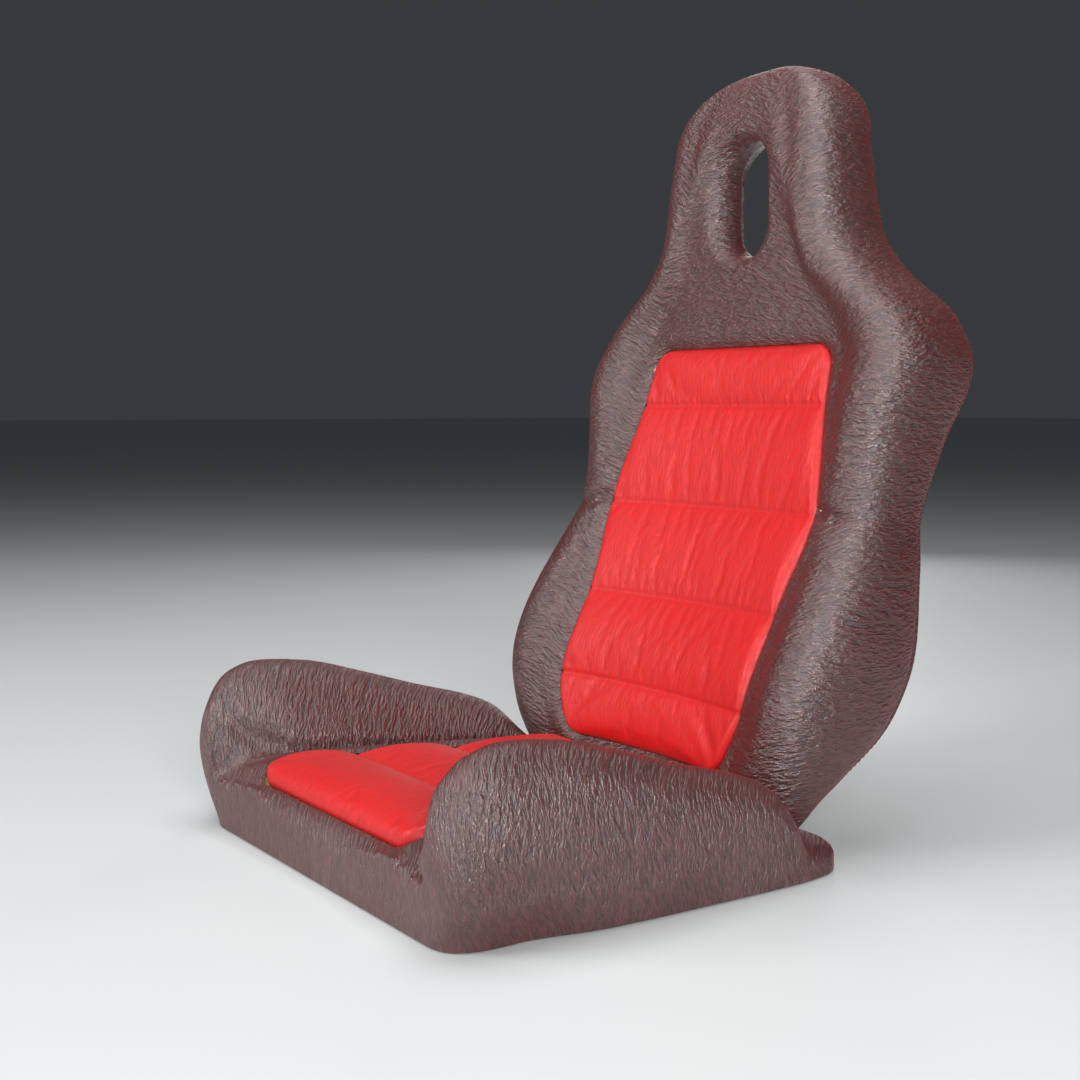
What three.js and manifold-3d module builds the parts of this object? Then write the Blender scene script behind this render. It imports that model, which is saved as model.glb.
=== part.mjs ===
// Fixed-back racing seat: a welded tube frame with elastic webbing, moulded foam
// pads and moulded leather covers, standing on two bolt-down rails.
// Millimetres, +Z up, the sitter faces -Y, X is left to right.
import * as THREE from "three";
import { mergeVertices } from "three/addons/utils/BufferGeometryUtils.js";
import Module from "manifold-3d";

const wasm = await Module();
wasm.setup();
const { Manifold, Mesh } = wasm;

// ---------------------------------------------------------------- dimensions
const FIT = 0.3; // gap between touching pieces
const LEATHER = 5; // leather with its scrim foam
const QUILT = 13; // red inserts: leather over quilting foam
const WEB_SLOT = 2.6; // half the room between front and rear foam, for the webbing
const TUBE_R = 9; // frame tubes
const CHANNEL_R = 17; // moulded channel round a frame tube
const FAR = 900; // beyond the seat on every side
const CORE = 2.2; // foam keeps this much clear of the covers

// How finely each form is lofted: points across a slice, and the levels that are sliced.
const FINE = { panel: 3, blend: 3, turn: 4, crown: 2, levels: 17, dome: [0.3, 0.55, 0.75, 0.9, 0.985] };
const COARSE = { panel: 2, blend: 2, turn: 3, crown: 1, levels: 11, dome: [0.35, 0.7, 0.9, 0.985] };

// Seat back: [height z, value]
const BACK_BOTTOM = 12;
const BACK_TOP = 874;
const DOME_START = 780; // where the head begins to round over
const FRONT_Y = [[12, 205], [85, 208], [150, 218], [250, 262], [360, 306], [480, 336], [550, 349],
  [640, 344], [720, 340], [800, 345]]; // centre line of the front
const REAR_Y = [[12, 240], [40, 256], [80, 310], [130, 358], [200, 388], [270, 396], [340, 408],
  [430, 440], [510, 472], [580, 474], [660, 458], [800, 446]]; // centre line of the rear
const MIDDLE_Y = [[-60, 226], [12, 226], [60, 244], [100, 264], [170, 300], [260, 327], [350, 352],
  [440, 384], [510, 407], [575, 412], [632, 404], [700, 398], [900, 397]]; // plane of the frame
const BACK_HALF = [[12, 214], [30, 222], [80, 246], [150, 270], [220, 276], [300, 268], [360, 256],
  [440, 262], [520, 274], [570, 250], [630, 182], [680, 149], [750, 137], [800, 130]];
const BACK_DISH = [[12, 0], [100, 16], [360, 14], [480, 8], [580, 0]]; // hollow across the panel
const WING_RISE = [[12, 0], [120, 18], [220, 28], [360, 8], [500, 26], [600, 14], [700, 6], [800, 3]];
const PANEL_HALF = [[12, 130], [75, 140], [148, 166], [250, 168], [355, 181], [477, 160], [548, 150],
  [640, 100], [720, 85], [800, 65]];
const PANEL = { bottom: 74, top: 548, corner: 26 }; // the red back insert
const BACK_CHANNELS = [148, 249, 357, 477]; // heights of the sewn channels
const SEAM_DEPTH = 0.68; // the cover's seam runs this far from the frame plane to the rear face
const WING_SPLIT = 160; // bolster foam starts here
const HEAD_SPLIT = 600; // head foam starts here
const SLOT = { half: 38, bottom: 652, top: 786 }; // throat of the harness hole through the head
// [depth y, half width added, half height added]: a rolled rim in front, a wide funnel behind.
const SLOT_FLARE = [[318, 42, 34], [333, 24, 20], [344, 13, 11], [356, 4, 3], [374, 0, 0], [392, 10, 3],
  [418, 40, 12], [446, 66, 24], [480, 96, 40]];
const SLOT_TURNS = 7; // facets round each end of the hole

// Seat base: [depth y, value]
const BASE_FRONT = -217;
const BASE_REAR = 262;
const BOLSTER_TOP = [[-217, 96], [-213, 126], [-200, 154], [-180, 174], [-148, 183], [-100, 178],
  [-30, 159], [50, 134], [120, 114], [158, 97], [180, 70], [194, 36], [206, 30], [245, 30], [262, 14]];
const PAN_TOP = [[-217, 42], [-211, 60], [-202, 72], [-188, 81], [-150, 87], [0, 78], [120, 70],
  [212, 62], [224, 30], [245, 30], [262, 14]];
const BASE_HALF = [[-217, 258], [-214, 270], [-206, 281], [-190, 291], [-160, 296], [-60, 296],
  [60, 292], [180, 287], [222, 281], [245, 268], [262, 240]];
const FLOOR_TUCK = [[-217, 26], [-143, 30], [-66, 16], [60, 6], [180, 0]]; // draws the sides in at the ground
const BOLSTER_INNER = [[-217, 240], [-200, 222], [-172, 206], [-130, 193], [262, 190]];
const INSERT = { half: 172, front: -204, rear: 202, corner: 34 }; // red seat insert
const SEAT_CHANNELS = [-78, 52]; // depths of the sewn channels
const NOSE_BULGE = 14; // bolster noses stand this far ahead of the front lip

// Frame, rails and board under the base
const RAIL = { x: 168, half: 15, height: 8, front: -190, rear: 236, bolts: [-130, 150] };
const RAIL_GAP = 0.5; // board to rail
const BOLT_HOLE_R = 4.2;
const NUT = { flats: 13, height: 6.5 };
const FRAME_Z = RAIL.height + FIT + TUBE_R;
const BOARD_Z = [1.4, 5.4];
const FOAM_FLOOR = 19.4;
const FOOT_HOLLOW = 8; // the covers' feet thicken by this much under the ground line
const SIDE_PATH = [[184, 228], [187, 210], [200, 178], [211, 130], [212, 60], [212, -60], [211, -120],
  [200, -158], [165, -176], [90, -180], [0, -180]]; // right half of the base hoop, in plan
const HOOP_FOOT = FRAME_Z + TUBE_R + 2.2; // the leaning leg's cut end clears the tube under it
// Right half of the back hoop.
const HOOP_PATH = [[186, 227, HOOP_FOOT], [187, 243, 60], [188, 264, 100], [192, 300, 170],
  [195, 327, 260], [194, 352, 350], [194, 384, 440], [194, 407, 510], [165, 412, 575], [108, 404, 632],
  [87, 398, 700], [85, 397, 765], [66, 397, 812], [34, 397, 834], [0, 397, 838]];
const PLATE = {
  x: [172.7, 176.5],
  points: [[176, 10], [233, 10], [262, 84], [244, 91], [214, 44], [176, 27]],
};
const REAR_TUBE_Y = 218;
const CROSS_BARS = [180, 574]; // heights of the lumbar and the shoulder tube
const BACK_WEBS = [120, 232, 320, 408];
const SEAT_WEBS = [-84, -30, 24, 78];
const WEB = { thick: 1.8, half: 16, backEye: 10.6, seatEye: 9.7 };
const SCREW = {
  places: [[130, -178], [212, -3], [207, 150]],
  headR: 4.8,
  head: [0.3, 1.1],
  shankR: 2.5,
  top: 13,
};
const ROD_R = 1.5; // listing rods that hold the channels down
const ROD_SHORT = 14; // the rods end this far inside the inserts' edges
const ROD_BELOW = QUILT + CORE + 3.5; // depth of a rod's middle under the leather

// ------------------------------------------------------------------- helpers
const smooth = (v) => THREE.MathUtils.smoothstep(v, 0, 1);
const quarterTurn = (count, at) => Array.from({ length: count }, (_, i) => at((Math.PI / 2) * (i / count)));

// Smooth curve through the stations of a table, without overshoot.
function station(table, t) {
  const last = table.length - 1;
  const x = THREE.MathUtils.clamp(t, table[0][0], table[last][0]);
  const slope = (i) => (table[i + 1][1] - table[i][1]) / (table[i + 1][0] - table[i][0]);
  const tangent = (i) => {
    if (i === 0) return slope(0);
    if (i === last) return slope(last - 1);
    const [a, b] = [slope(i - 1), slope(i)];
    return a * b > 0 ? (2 * a * b) / (a + b) : 0;
  };
  let i = 0;
  while (i < last - 1 && x > table[i + 1][0]) i++;
  const h = table[i + 1][0] - table[i][0];
  const u = (x - table[i][0]) / h;
  return (1 + 2 * u) * (1 - u) ** 2 * table[i][1] + u * (1 - u) ** 2 * h * tangent(i)
    + u * u * (3 - 2 * u) * table[i + 1][1] + u * u * (u - 1) * h * tangent(i + 1);
}

// Turns a closed three.js geometry into a solid, whichever way its faces run.
function solid(geometry) {
  const bare = geometry.clone();
  bare.deleteAttribute("normal");
  bare.deleteAttribute("uv");
  const merged = mergeVertices(bare, 1e-5);
  const vertProperties = new Float32Array(merged.attributes.position.array);
  const triVerts = new Uint32Array(merged.index.array);
  const made = new Manifold(new Mesh({ numProp: 3, vertProperties, triVerts }));
  if (made.volume() > 0) return made;
  return new Manifold(new Mesh({ numProp: 3, vertProperties, triVerts: triVerts.reverse() }));
}

// A closed solid from rings of points. Each end is a fan round its middle or, for a
// hollow-topped section, strips between the points that face each other across the ring.
function loft(rings, stripEnds = false) {
  const size = rings[0].length;
  const last = rings.length - 1;
  const index = [];
  const at = (r, i) => r * size + ((i + size) % size);
  for (let r = 0; r < last; r++) {
    for (let i = 0; i < size; i++) {
      index.push(at(r, i), at(r, i + 1), at(r + 1, i + 1), at(r, i), at(r + 1, i + 1), at(r + 1, i));
    }
  }
  const middle = (ring) => [0, 1, 2].map((k) => ring.reduce((sum, p) => sum + p[k], 0) / size);
  const tips = stripEnds ? [] : [middle(rings[0]), middle(rings[last])];
  const fan = (r) => rings[r].map((_, i) => [at(r, i), at(r, i + 1), rings.length * size + Math.sign(r)]);
  const strips = (r) => Array.from({ length: size / 2 }, (_, i) => [
    [at(r, i), at(r, i + 1), at(r, -i - 1)],
    [at(r, i), at(r, -i - 1), at(r, -i)],
  ]).flat().filter((face) => new Set(face).size === 3);
  const end = stripEnds ? strips : fan;
  index.push(...end(0).map((face) => face.reverse()).flat(), ...end(last).flat());
  const geometry = new THREE.BufferGeometry();
  geometry.setAttribute("position", new THREE.Float32BufferAttribute([...rings, tips].flat(2), 3));
  geometry.setIndex(index);
  return solid(geometry);
}

// The same rings moved inwards along their normals (outwards when negative).
function inset(rings, distance) {
  const size = rings[0].length;
  const point = (r, i) => new THREE.Vector3(...rings[r][(i + size) % size]);
  return rings.map((ring, r) => ring.map((p, i) => {
    const along = point(Math.min(r + 1, rings.length - 1), i).sub(point(Math.max(r - 1, 0), i));
    const normal = point(r, i + 1).sub(point(r, i - 1)).cross(along).normalize();
    return p.map((c, k) => c - distance * normal.getComponent(k));
  }));
}

// A box between two corners.
function box([x0, x1], [y0, y1], [z0, z1]) {
  const geometry = new THREE.BoxGeometry(x1 - x0, y1 - y0, z1 - z0);
  geometry.translate((x0 + x1) / 2, (y0 + y1) / 2, (z0 + z1) / 2);
  return solid(geometry);
}

// An upright cylinder (or a hexagon, with six sides).
function post(radius, [z0, z1], x, y, sides = 12) {
  const geometry = new THREE.CylinderGeometry(radius, radius, z1 - z0, sides);
  geometry.rotateX(Math.PI / 2);
  geometry.translate(x, y, (z0 + z1) / 2);
  return solid(geometry);
}

const smoothPath = (points) => new THREE.CatmullRomCurve3(
  points.map((p) => new THREE.Vector3(...p)),
  false,
  "centripetal",
);

// A round bar along a path of points.
function tube(points, radius, steps, sides = 10) {
  const path = smoothPath(points);
  const section = new THREE.Shape(Array.from({ length: sides }, (_, i) => {
    const a = (2 * Math.PI * i) / sides;
    return new THREE.Vector2(radius * Math.cos(a), radius * Math.sin(a));
  }));
  return solid(new THREE.ExtrudeGeometry(section, { extrudePath: path, steps }));
}

// A flat outline given thickness: "xy" outlines are thick along Z, "xz" along Y, "yz" along X.
function slab(shape, plane, [from, to], curveSegments = 6) {
  const geometry = new THREE.ExtrudeGeometry(shape, { depth: to - from, bevelEnabled: false, curveSegments });
  geometry.translate(0, 0, from);
  const rows = {
    xy: [1, 0, 0, 0, 0, 1, 0, 0, 0, 0, 1, 0],
    xz: [1, 0, 0, 0, 0, 0, 1, 0, 0, 1, 0, 0],
    yz: [0, 0, 1, 0, 1, 0, 0, 0, 0, 1, 0, 0],
  };
  geometry.applyMatrix4(new THREE.Matrix4().set(...rows[plane], 0, 0, 0, 1));
  return solid(geometry);
}

const outline = (points) => new THREE.Shape(points.map((p) => new THREE.Vector2(...p)));
const bothHalves = (right, flip) => [...right.slice(0, -1), ...[...right].reverse().map(flip)];
const mirrored = (made) => made.mirror([1, 0, 0]);
const without = (made, ...cutters) => cutters.reduce((left, cutter) => left.subtract(cutter), made);
const joined = (...made) => made.reduce((all, part) => all.add(part));

// ------------------------------------------------------------- the back's form
// Half a level slice: the front from the centre to the side point, then the rear to the centre.
function backSlice(z, detail) {
  const domed = THREE.MathUtils.clamp((z - DOME_START) / (BACK_TOP - DOME_START), 0, 1);
  const level = Math.min(z, DOME_START);
  const half = station(BACK_HALF, level) * Math.sqrt(1 - domed ** 2.2);
  const middle = (station(FRONT_Y, level) + station(REAR_Y, level)) / 2 + 8 * domed;
  const deep = ((station(REAR_Y, level) - station(FRONT_Y, level)) / 2) * Math.sqrt(1 - domed ** 2.4);
  const [front, rear] = [middle - deep, middle + deep];
  const panel = Math.min(station(PANEL_HALF, level), half * 0.7);
  const edge = front - station(BACK_DISH, level) * (1 - domed);
  const crest = edge - station(WING_RISE, level) * (1 - domed);
  const crestX = Math.max(half - Math.min(45, half * 0.25), panel + half * 0.02);
  const side = crest + 0.45 * (rear - crest);
  const rearX = half - Math.min(50, half * 0.3);
  const frontSide = [];
  for (let i = 0; i < detail.panel; i++) {
    const u = i / detail.panel;
    frontSide.push([panel * u, front + (edge - front) * u * u]);
  }
  for (let i = 0; i < detail.blend; i++) {
    const u = i / detail.blend;
    frontSide.push([panel + (crestX - panel) * u, edge + (crest - edge) * (1 - Math.cos(Math.PI * u)) / 2]);
  }
  frontSide.push(...quarterTurn(detail.turn, (a) => [
    crestX + (half - crestX) * Math.sin(a) ** 0.9,
    side - (side - crest) * Math.cos(a) ** 0.8,
  ]), [half, side]);
  const rearSide = quarterTurn(detail.turn, (a) => [
    rearX + (half - rearX) * Math.cos(a) ** 0.8,
    side + (rear - side) * Math.sin(a) ** 0.9,
  ]).slice(1);
  for (let i = 0; i <= detail.crown; i++) {
    const x = rearX * (1 - i / detail.crown);
    rearSide.push([x, rear + 6 * (1 - domed) * (1 - (x / rearX) ** 2)]);
  }
  return { frontSide, rearSide };
}

function backRings(detail) {
  const rise = (i) => BACK_BOTTOM + (DOME_START - BACK_BOTTOM) * i / detail.levels;
  const levels = Array.from({ length: detail.levels + 1 }, (_, i) => rise(i));
  levels.push(...detail.dome.map((u) => DOME_START + (BACK_TOP - DOME_START) * u));
  return levels.map((z) => {
    const { frontSide, rearSide } = backSlice(z, detail);
    const flip = ([x, y]) => [-x, y];
    const left = frontSide.slice(1).reverse().map(flip);
    const rearLeft = rearSide.slice(0, -1).reverse().map(flip);
    return [...left, ...frontSide, ...rearSide, ...rearLeft].map(([x, y]) => [x, y, z]);
  });
}

const backOuterRings = backRings(FINE);
const backCoreRings = backRings(COARSE);

// The back's form, `depth` under its surface and open downwards.
function backWithin(depth) {
  const rings = inset(backCoreRings, depth);
  const below = rings[0].map(([x, y, z]) => [x, y, z - 40]);
  return loft([below, ...rings]);
}

// Everything in front of an upright sheet that follows the back, given its depth at a height.
function inFrontOf(depthAt) {
  const edge = [];
  for (let z = -60; z <= 900; z += 30) edge.push([depthAt(z), z]);
  return slab(outline([[-FAR, -60], ...edge, [-FAR, 900]]), "yz", [-FAR, FAR]);
}

const framePlane = (shift) => (z) => station(MIDDLE_Y, z) + shift;
const coverSeam = (shift) => (z) => {
  const plane = station(MIDDLE_Y, z);
  return plane + SEAM_DEPTH * (station(REAR_Y, z) - plane) + shift;
};

// The harness hole, `grow` larger than its finished size.
function slotBody(grow) {
  const rings = SLOT_FLARE.map(([y, across, up]) => {
    const [halfWidth, rise] = [SLOT.half + across + grow, SLOT.half + up + grow];
    const [low, high] = [SLOT.bottom + SLOT.half, SLOT.top - SLOT.half];
    const upper = [];
    for (let i = 0; i <= SLOT_TURNS; i++) {
      const a = Math.PI * i / SLOT_TURNS;
      upper.push([halfWidth * Math.cos(a), high + rise * Math.sin(a)]);
    }
    const lower = upper.map(([x, z]) => [-x, low + high - z]);
    return [...upper, ...lower].map(([x, z]) => [x, y, z]);
  });
  return loft(rings);
}

// The red back insert's outline, `grow` larger.
function panelPrism(grow) {
  const r = PANEL.corner;
  const right = [];
  const sides = 8;
  const corner = (z, angles) => angles.forEach((a) => {
    const turn = THREE.MathUtils.degToRad(a);
    right.push([station(PANEL_HALF, z) - r + r * Math.cos(turn), z + r * Math.sin(turn)]);
  });
  corner(PANEL.bottom + r, [-90, -60, -30]);
  for (let i = 0; i <= sides; i++) {
    const z = PANEL.bottom + r + (PANEL.top - PANEL.bottom - 2 * r) * i / sides;
    right.push([station(PANEL_HALF, z), z]);
  }
  corner(PANEL.top - r, [30, 60, 90]);
  const growUp = (z) => (z > PANEL.top - r ? grow : 0) - (z < PANEL.bottom + r ? grow : 0);
  const grown = right.map(([x, z]) => [x + grow, z + growUp(z)]);
  const all = [...grown, ...[...grown].reverse().map(([x, z]) => [-x, z])];
  return slab(outline(all), "xz", [60, 420]);
}

// ------------------------------------------------------------- the base's form
// Half an upright slice: over the top from the centre to the side point, then down to the ground.
function baseSlice(y, detail) {
  const half = station(BASE_HALF, y);
  const top = station(BOLSTER_TOP, y);
  const pan = station(PAN_TOP, y);
  const inner = station(BOLSTER_INNER, y);
  const crest = Math.max(half - 36, inner + 0.35 * (half - inner));
  const valley = pan - 6 * smooth((pan - 40) / 20);
  const side = 0.45 * top;
  const upper = [[0, pan], [INSERT.half * 0.5, pan], [INSERT.half, pan - 1]];
  upper.push([(INSERT.half + inner) / 2, (pan + valley) / 2 - 1]);
  for (let i = 0; i < detail.blend + 1; i++) {
    const u = i / (detail.blend + 1);
    upper.push([inner + (crest - inner) * u, valley + (top - valley) * Math.sin(Math.PI / 2 * u) ** 0.9]);
  }
  upper.push(...quarterTurn(detail.turn, (a) => [
    crest + (half - crest) * Math.sin(a),
    side + (top - side) * Math.cos(a) ** 0.75,
  ]), [half, side]);
  const tuck = station(FLOOR_TUCK, y);
  const lower = [1 / 2, 1].map((u) => [half - tuck * u * u, side * (1 - u)]);
  const across = upper.length - 1 - lower.length;
  for (let i = 1; i <= across; i++) lower.push([(half - tuck) * (1 - i / across), 0]);
  return { upper, lower };
}

// Bolster noses swell forward above the ground.
function nose([x, y, z]) {
  const swell = smooth((Math.abs(x) - 150) / 80) * smooth(z / 100) * smooth((-60 - y) / 140);
  return [x, y - NOSE_BULGE * swell, z];
}

function baseRings(depths, detail) {
  return depths.map((y) => {
    const { upper, lower } = baseSlice(y, detail);
    const flip = ([x, z]) => [-x, z];
    const left = upper.slice(1).reverse().map(flip);
    const lowerLeft = lower.slice(0, -1).reverse().map(flip);
    return [...left, ...upper, ...lower, ...lowerLeft].map(([x, z]) => [x, y, z]);
  });
}

const baseOuterRings = baseRings([-217, -213, -203, -187, -162, -130, -90, -45, 0, 50, 100, 140, 164,
  180, 194, 206, 226, 245, 256, 262], FINE);
const baseCoreRings = baseRings([-217, -206, -185, -162, -130, -90, 0, 90, 158, 180, 194, 226, 250, 262],
  COARSE);

// The base's form, `depth` under its surface and open downwards.
function baseWithin(depth) {
  const rings = inset(baseCoreRings, depth).map((ring, r) => ring.map(([x, y, z], i) => {
    const outer = baseCoreRings[r][i];
    const deep = THREE.MathUtils.clamp(y, BASE_FRONT + depth, BASE_REAR - depth);
    if (outer[2] > 0) return nose([x, deep, z]);
    return [outer[0] - Math.sign(outer[0]) * (depth + FOOT_HOLLOW), deep, -20];
  }));
  return loft(rings, true);
}

const roundedRect = ({ half, front, rear, corner }, grow) => {
  const [x, y0, y1, r] = [half + grow, front - grow, rear + grow, corner + grow];
  const shape = new THREE.Shape();
  shape.moveTo(-x + r, y0).lineTo(x - r, y0).absarc(x - r, y0 + r, r, -Math.PI / 2, 0);
  shape.lineTo(x, y1).lineTo(-x, y1);
  shape.lineTo(-x, y0 + r).absarc(-x + r, y0 + r, r, Math.PI, 1.5 * Math.PI);
  return shape;
};

// Right of the seam between the seat's surround and the thigh bolster, moved right by `shift`.
function besideBolster(shift) {
  const seam = [[190, FAR], [190, -130], [206, -168], [222, -196], [238, -222], [238, -FAR]];
  return slab(outline([...seam.map(([x, y]) => [x + shift, y]), [FAR, -FAR], [FAR, FAR]]), "xy", [-FAR, FAR]);
}

// ------------------------------------------------------------- shared solids
const harnessHole = slotBody(0);
const hoopPath = bothHalves(HOOP_PATH, ([x, y, z]) => [-x, y, z]);
const sidePath = bothHalves(SIDE_PATH, ([x, y]) => [-x, y]).map(([x, y]) => [x, y, FRAME_Z]);
const backForm = loft(backOuterRings).subtract(harnessHole);
const backClearance = loft(inset(backOuterRings, -FIT));
const baseForm = loft(baseOuterRings.map((ring) => ring.map(nose)), true);
const plate = slab(outline(PLATE.points), "yz", PLATE.x);
const plateRoom = slab(outline(PLATE.points), "yz", [PLATE.x[0] - 1, PLATE.x[1] + 1]);
const bothPlateRooms = plateRoom.add(mirrored(plateRoom));
const backTubeRoom = tube(hoopPath, CHANNEL_R, 36, 6);
const baseTubeRoom = tube(sidePath, CHANNEL_R, 24, 6);
const rearPath = [-200, 0, 200].map((x) => [x, REAR_TUBE_Y, FRAME_Z]);
const tubeRuns = [[hoopPath, 40], [sidePath, 24], [rearPath, 2]];
const tubeGap = joined(...tubeRuns.map(([path, steps]) => tube(path, TUBE_R + 1, steps)));
const crossBar = (z, radius, half) => {
  const y = station(MIDDLE_Y, z);
  return tube([[-half, y, z], [0, y, z], [half, y, z]], radius, 2);
};

// ------------------------------------------------------------- leather covers
function backCovers() {
  const skin = without(backForm, backWithin(LEATHER), panelPrism(FIT).intersect(inFrontOf(framePlane(0))),
    slotBody(LEATHER + FIT), bothPlateRooms, tubeGap);
  const window = panelPrism(0).intersect(inFrontOf(framePlane(0)));
  const insert = backForm.intersect(window).subtract(backWithin(QUILT));
  return {
    back_front_cover: skin.intersect(inFrontOf(coverSeam(0))),
    back_rear_cover: skin.subtract(inFrontOf(coverSeam(FIT))),
    back_insert_cover: insert,
    harness_hole_liner: slotBody(LEATHER).intersect(backForm),
  };
}

const insertRoom = slab(roundedRect(INSERT, FIT), "xy", [10, 200]);
const baseSkin = without(baseForm, baseWithin(LEATHER), insertRoom, backClearance, tubeGap);
const leftOf = (shift) => mirrored(besideBolster(shift));

function baseCovers() {
  const insert = baseForm.intersect(slab(roundedRect(INSERT, 0), "xy", [20, 200]));
  const centre = without(baseSkin, besideBolster(0), leftOf(0));
  return {
    seat_insert_cover: without(insert, baseWithin(QUILT), backClearance),
    thigh_bolster_cover_right: baseSkin.intersect(besideBolster(FIT)),
    thigh_bolster_cover_left: baseSkin.intersect(leftOf(FIT)),
    seat_surround_cover: centre.subtract(box([-FAR, FAR], [200, FAR], [-10, 200])),
    rear_skirt_cover: centre.intersect(box([-FAR, FAR], [205, FAR], [-10, 40])),
  };
}

// ----------------------------------------------------------------- foam pads
function backFoams() {
  const whole = backWithin(LEATHER + CORE).intersect(box([-FAR, FAR], [-FAR, FAR], [34, FAR]));
  const quiltRoom = panelPrism(FIT).intersect(inFrontOf(framePlane(0))).subtract(backWithin(QUILT + CORE));
  const rooms = [quiltRoom, slotBody(LEATHER + 2 * FIT), backTubeRoom, bothPlateRooms];
  const bars = CROSS_BARS.map((z) => crossBar(z, CHANNEL_R, 196));
  const rods = BACK_CHANNELS.map((z) => rodRoom(backRodPoints(z), [0, -3, 0]));
  const pad = without(whole, ...rooms, ...bars, ...rods);
  const front = pad.intersect(inFrontOf(framePlane(-WEB_SLOT)));
  const rear = pad.subtract(inFrontOf(framePlane(WEB_SLOT)));
  const lower = box([-FAR, FAR], [-FAR, FAR], [0, HEAD_SPLIT - FIT]);
  const wing = box([WING_SPLIT + FIT, FAR], [-FAR, FAR], [0, HEAD_SPLIT - FIT]);
  const centre = box([-WING_SPLIT, WING_SPLIT], [-FAR, FAR], [0, HEAD_SPLIT - FIT]);
  const upper = box([-FAR, FAR], [-FAR, FAR], [HEAD_SPLIT, FAR]);
  return {
    back_foam: front.intersect(centre),
    back_bolster_foam_right: front.intersect(wing),
    back_bolster_foam_left: front.intersect(mirrored(wing)),
    head_foam: front.intersect(upper),
    rear_foam: rear.intersect(lower),
    head_rear_foam: rear.intersect(upper),
  };
}

function baseFoams() {
  const core = baseWithin(LEATHER + CORE);
  const whole = without(core, baseSkin, backClearance, baseTubeRoom, tubeGap, bothPlateRooms);
  const quiltRoom = insertRoom.subtract(baseWithin(QUILT + CORE));
  const pad = without(whole, quiltRoom, ...SEAT_CHANNELS.map((y) => rodRoom(seatRodPoints(y), [0, 0, 3])));
  const underTube = box([-226, 226], [-190, 196], [-10, FOAM_FLOOR]);
  const aboveWebs = box([-FAR, FAR], [-FAR, FAR], [FOAM_FLOOR, FAR]);
  const aboveBoard = box([-FAR, FAR], [-FAR, FAR], [BOARD_Z[1] + 2 * FIT, FAR]);
  const bolsters = pad.intersect(aboveBoard).subtract(underTube);
  return {
    seat_foam: without(pad.intersect(aboveWebs), besideBolster(0), leftOf(0)),
    thigh_bolster_foam_right: bolsters.intersect(besideBolster(FIT)),
    thigh_bolster_foam_left: bolsters.intersect(leftOf(FIT)),
  };
}

// ------------------------------------------------------------- listing rods
function backRodPoints(z) {
  const half = station(PANEL_HALF, z) - ROD_SHORT;
  const points = [];
  for (let i = -4; i <= 4; i++) {
    const x = half * i / 4;
    const hollow = station(BACK_DISH, z) * (x / station(PANEL_HALF, z)) ** 2;
    points.push([x, station(FRONT_Y, z) - hollow + ROD_BELOW, z]);
  }
  return points;
}

const seatRodPoints = (y) => [-1, 0, 1].map((u) => [
  u * (INSERT.half - ROD_SHORT),
  y,
  station(PAN_TOP, y) - ROD_BELOW,
]);
const listingRod = (points, radius) => tube(points, radius, 6, 6);

// Groove for a rod, open towards the quilting that it holds down.
function rodRoom(points, towards) {
  const reach = points.map((p) => p.map((c, k) => c + towards[k]));
  return listingRod(points, ROD_R + 0.6).add(listingRod(reach, ROD_R + 0.6));
}

// ------------------------------------------------------------- frame and base
const hoopCurve = smoothPath(hoopPath);

// Where the right leg of the back hoop passes a height, and how far it leans there.
function hoopAt(height) {
  let [low, high] = [0, 0.45];
  for (let i = 0; i < 30; i++) {
    const middle = (low + high) / 2;
    if (hoopCurve.getPoint(middle).z < height) low = middle;
    else high = middle;
  }
  const along = hoopCurve.getTangent(low);
  const { x, y } = hoopCurve.getPoint(low);
  return { x, y, lean: Math.atan2(along.y, along.z) };
}

// Elastic webbing with an eye sewn round the side tube at each end.
function webShape(halfSpan, level, eyeR) {
  const outer = eyeR + WEB.thick;
  const reach = Math.asin(WEB.thick / 2 / outer);
  const shape = new THREE.Shape();
  shape.absarc(halfSpan, level, outer, Math.PI + reach, 3 * Math.PI - reach, false);
  shape.absarc(-halfSpan, level, outer, reach, 2 * Math.PI - reach, false);
  for (const x of [-halfSpan, halfSpan]) {
    shape.holes.push(new THREE.Path().absarc(x, level, eyeR, 0, 2 * Math.PI, true));
  }
  return shape;
}

function frameTubes() {
  const hoop = tube(hoopPath, TUBE_R, 40);
  const hoopGap = tube(hoopPath, TUBE_R + FIT, 40);
  const screwHole = ([x, y]) => post(SCREW.shankR + FIT, [0, SCREW.top + 1], x, y);
  const screwHoles = joined(...screwPlaces().map(screwHole));
  const sides = tube(sidePath, TUBE_R, 24);
  const sideGap = tube(sidePath, TUBE_R + FIT, 24);
  const rear = tube(rearPath, TUBE_R, 2);
  const plateGap = slab(outline(PLATE.points), "yz", [PLATE.x[0] - FIT, PLATE.x[1] + FIT]);
  const [lumbar, shoulder] = CROSS_BARS.map((z) => crossBar(z, TUBE_R, 192).subtract(hoopGap));
  return {
    back_hoop: hoop,
    base_hoop: sides.subtract(screwHoles),
    rear_cross_tube: without(rear, sideGap, plateGap, mirrored(plateGap)),
    lumbar_cross_tube: lumbar,
    shoulder_cross_tube: shoulder,
    hip_plate_right: without(plate, hoopGap, sideGap),
    hip_plate_left: mirrored(without(plate, hoopGap, sideGap)),
  };
}

const screwPlaces = () => SCREW.places.flatMap(([x, y]) => [[x, y], [-x, y]]);

function rail() {
  const blank = box([RAIL.x - RAIL.half, RAIL.x + RAIL.half], [RAIL.front, RAIL.rear], [0, RAIL.height]);
  return without(blank, ...RAIL.bolts.map((y) => post(BOLT_HOLE_R, [-1, RAIL.height + 1], RAIL.x, y)));
}

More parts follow.
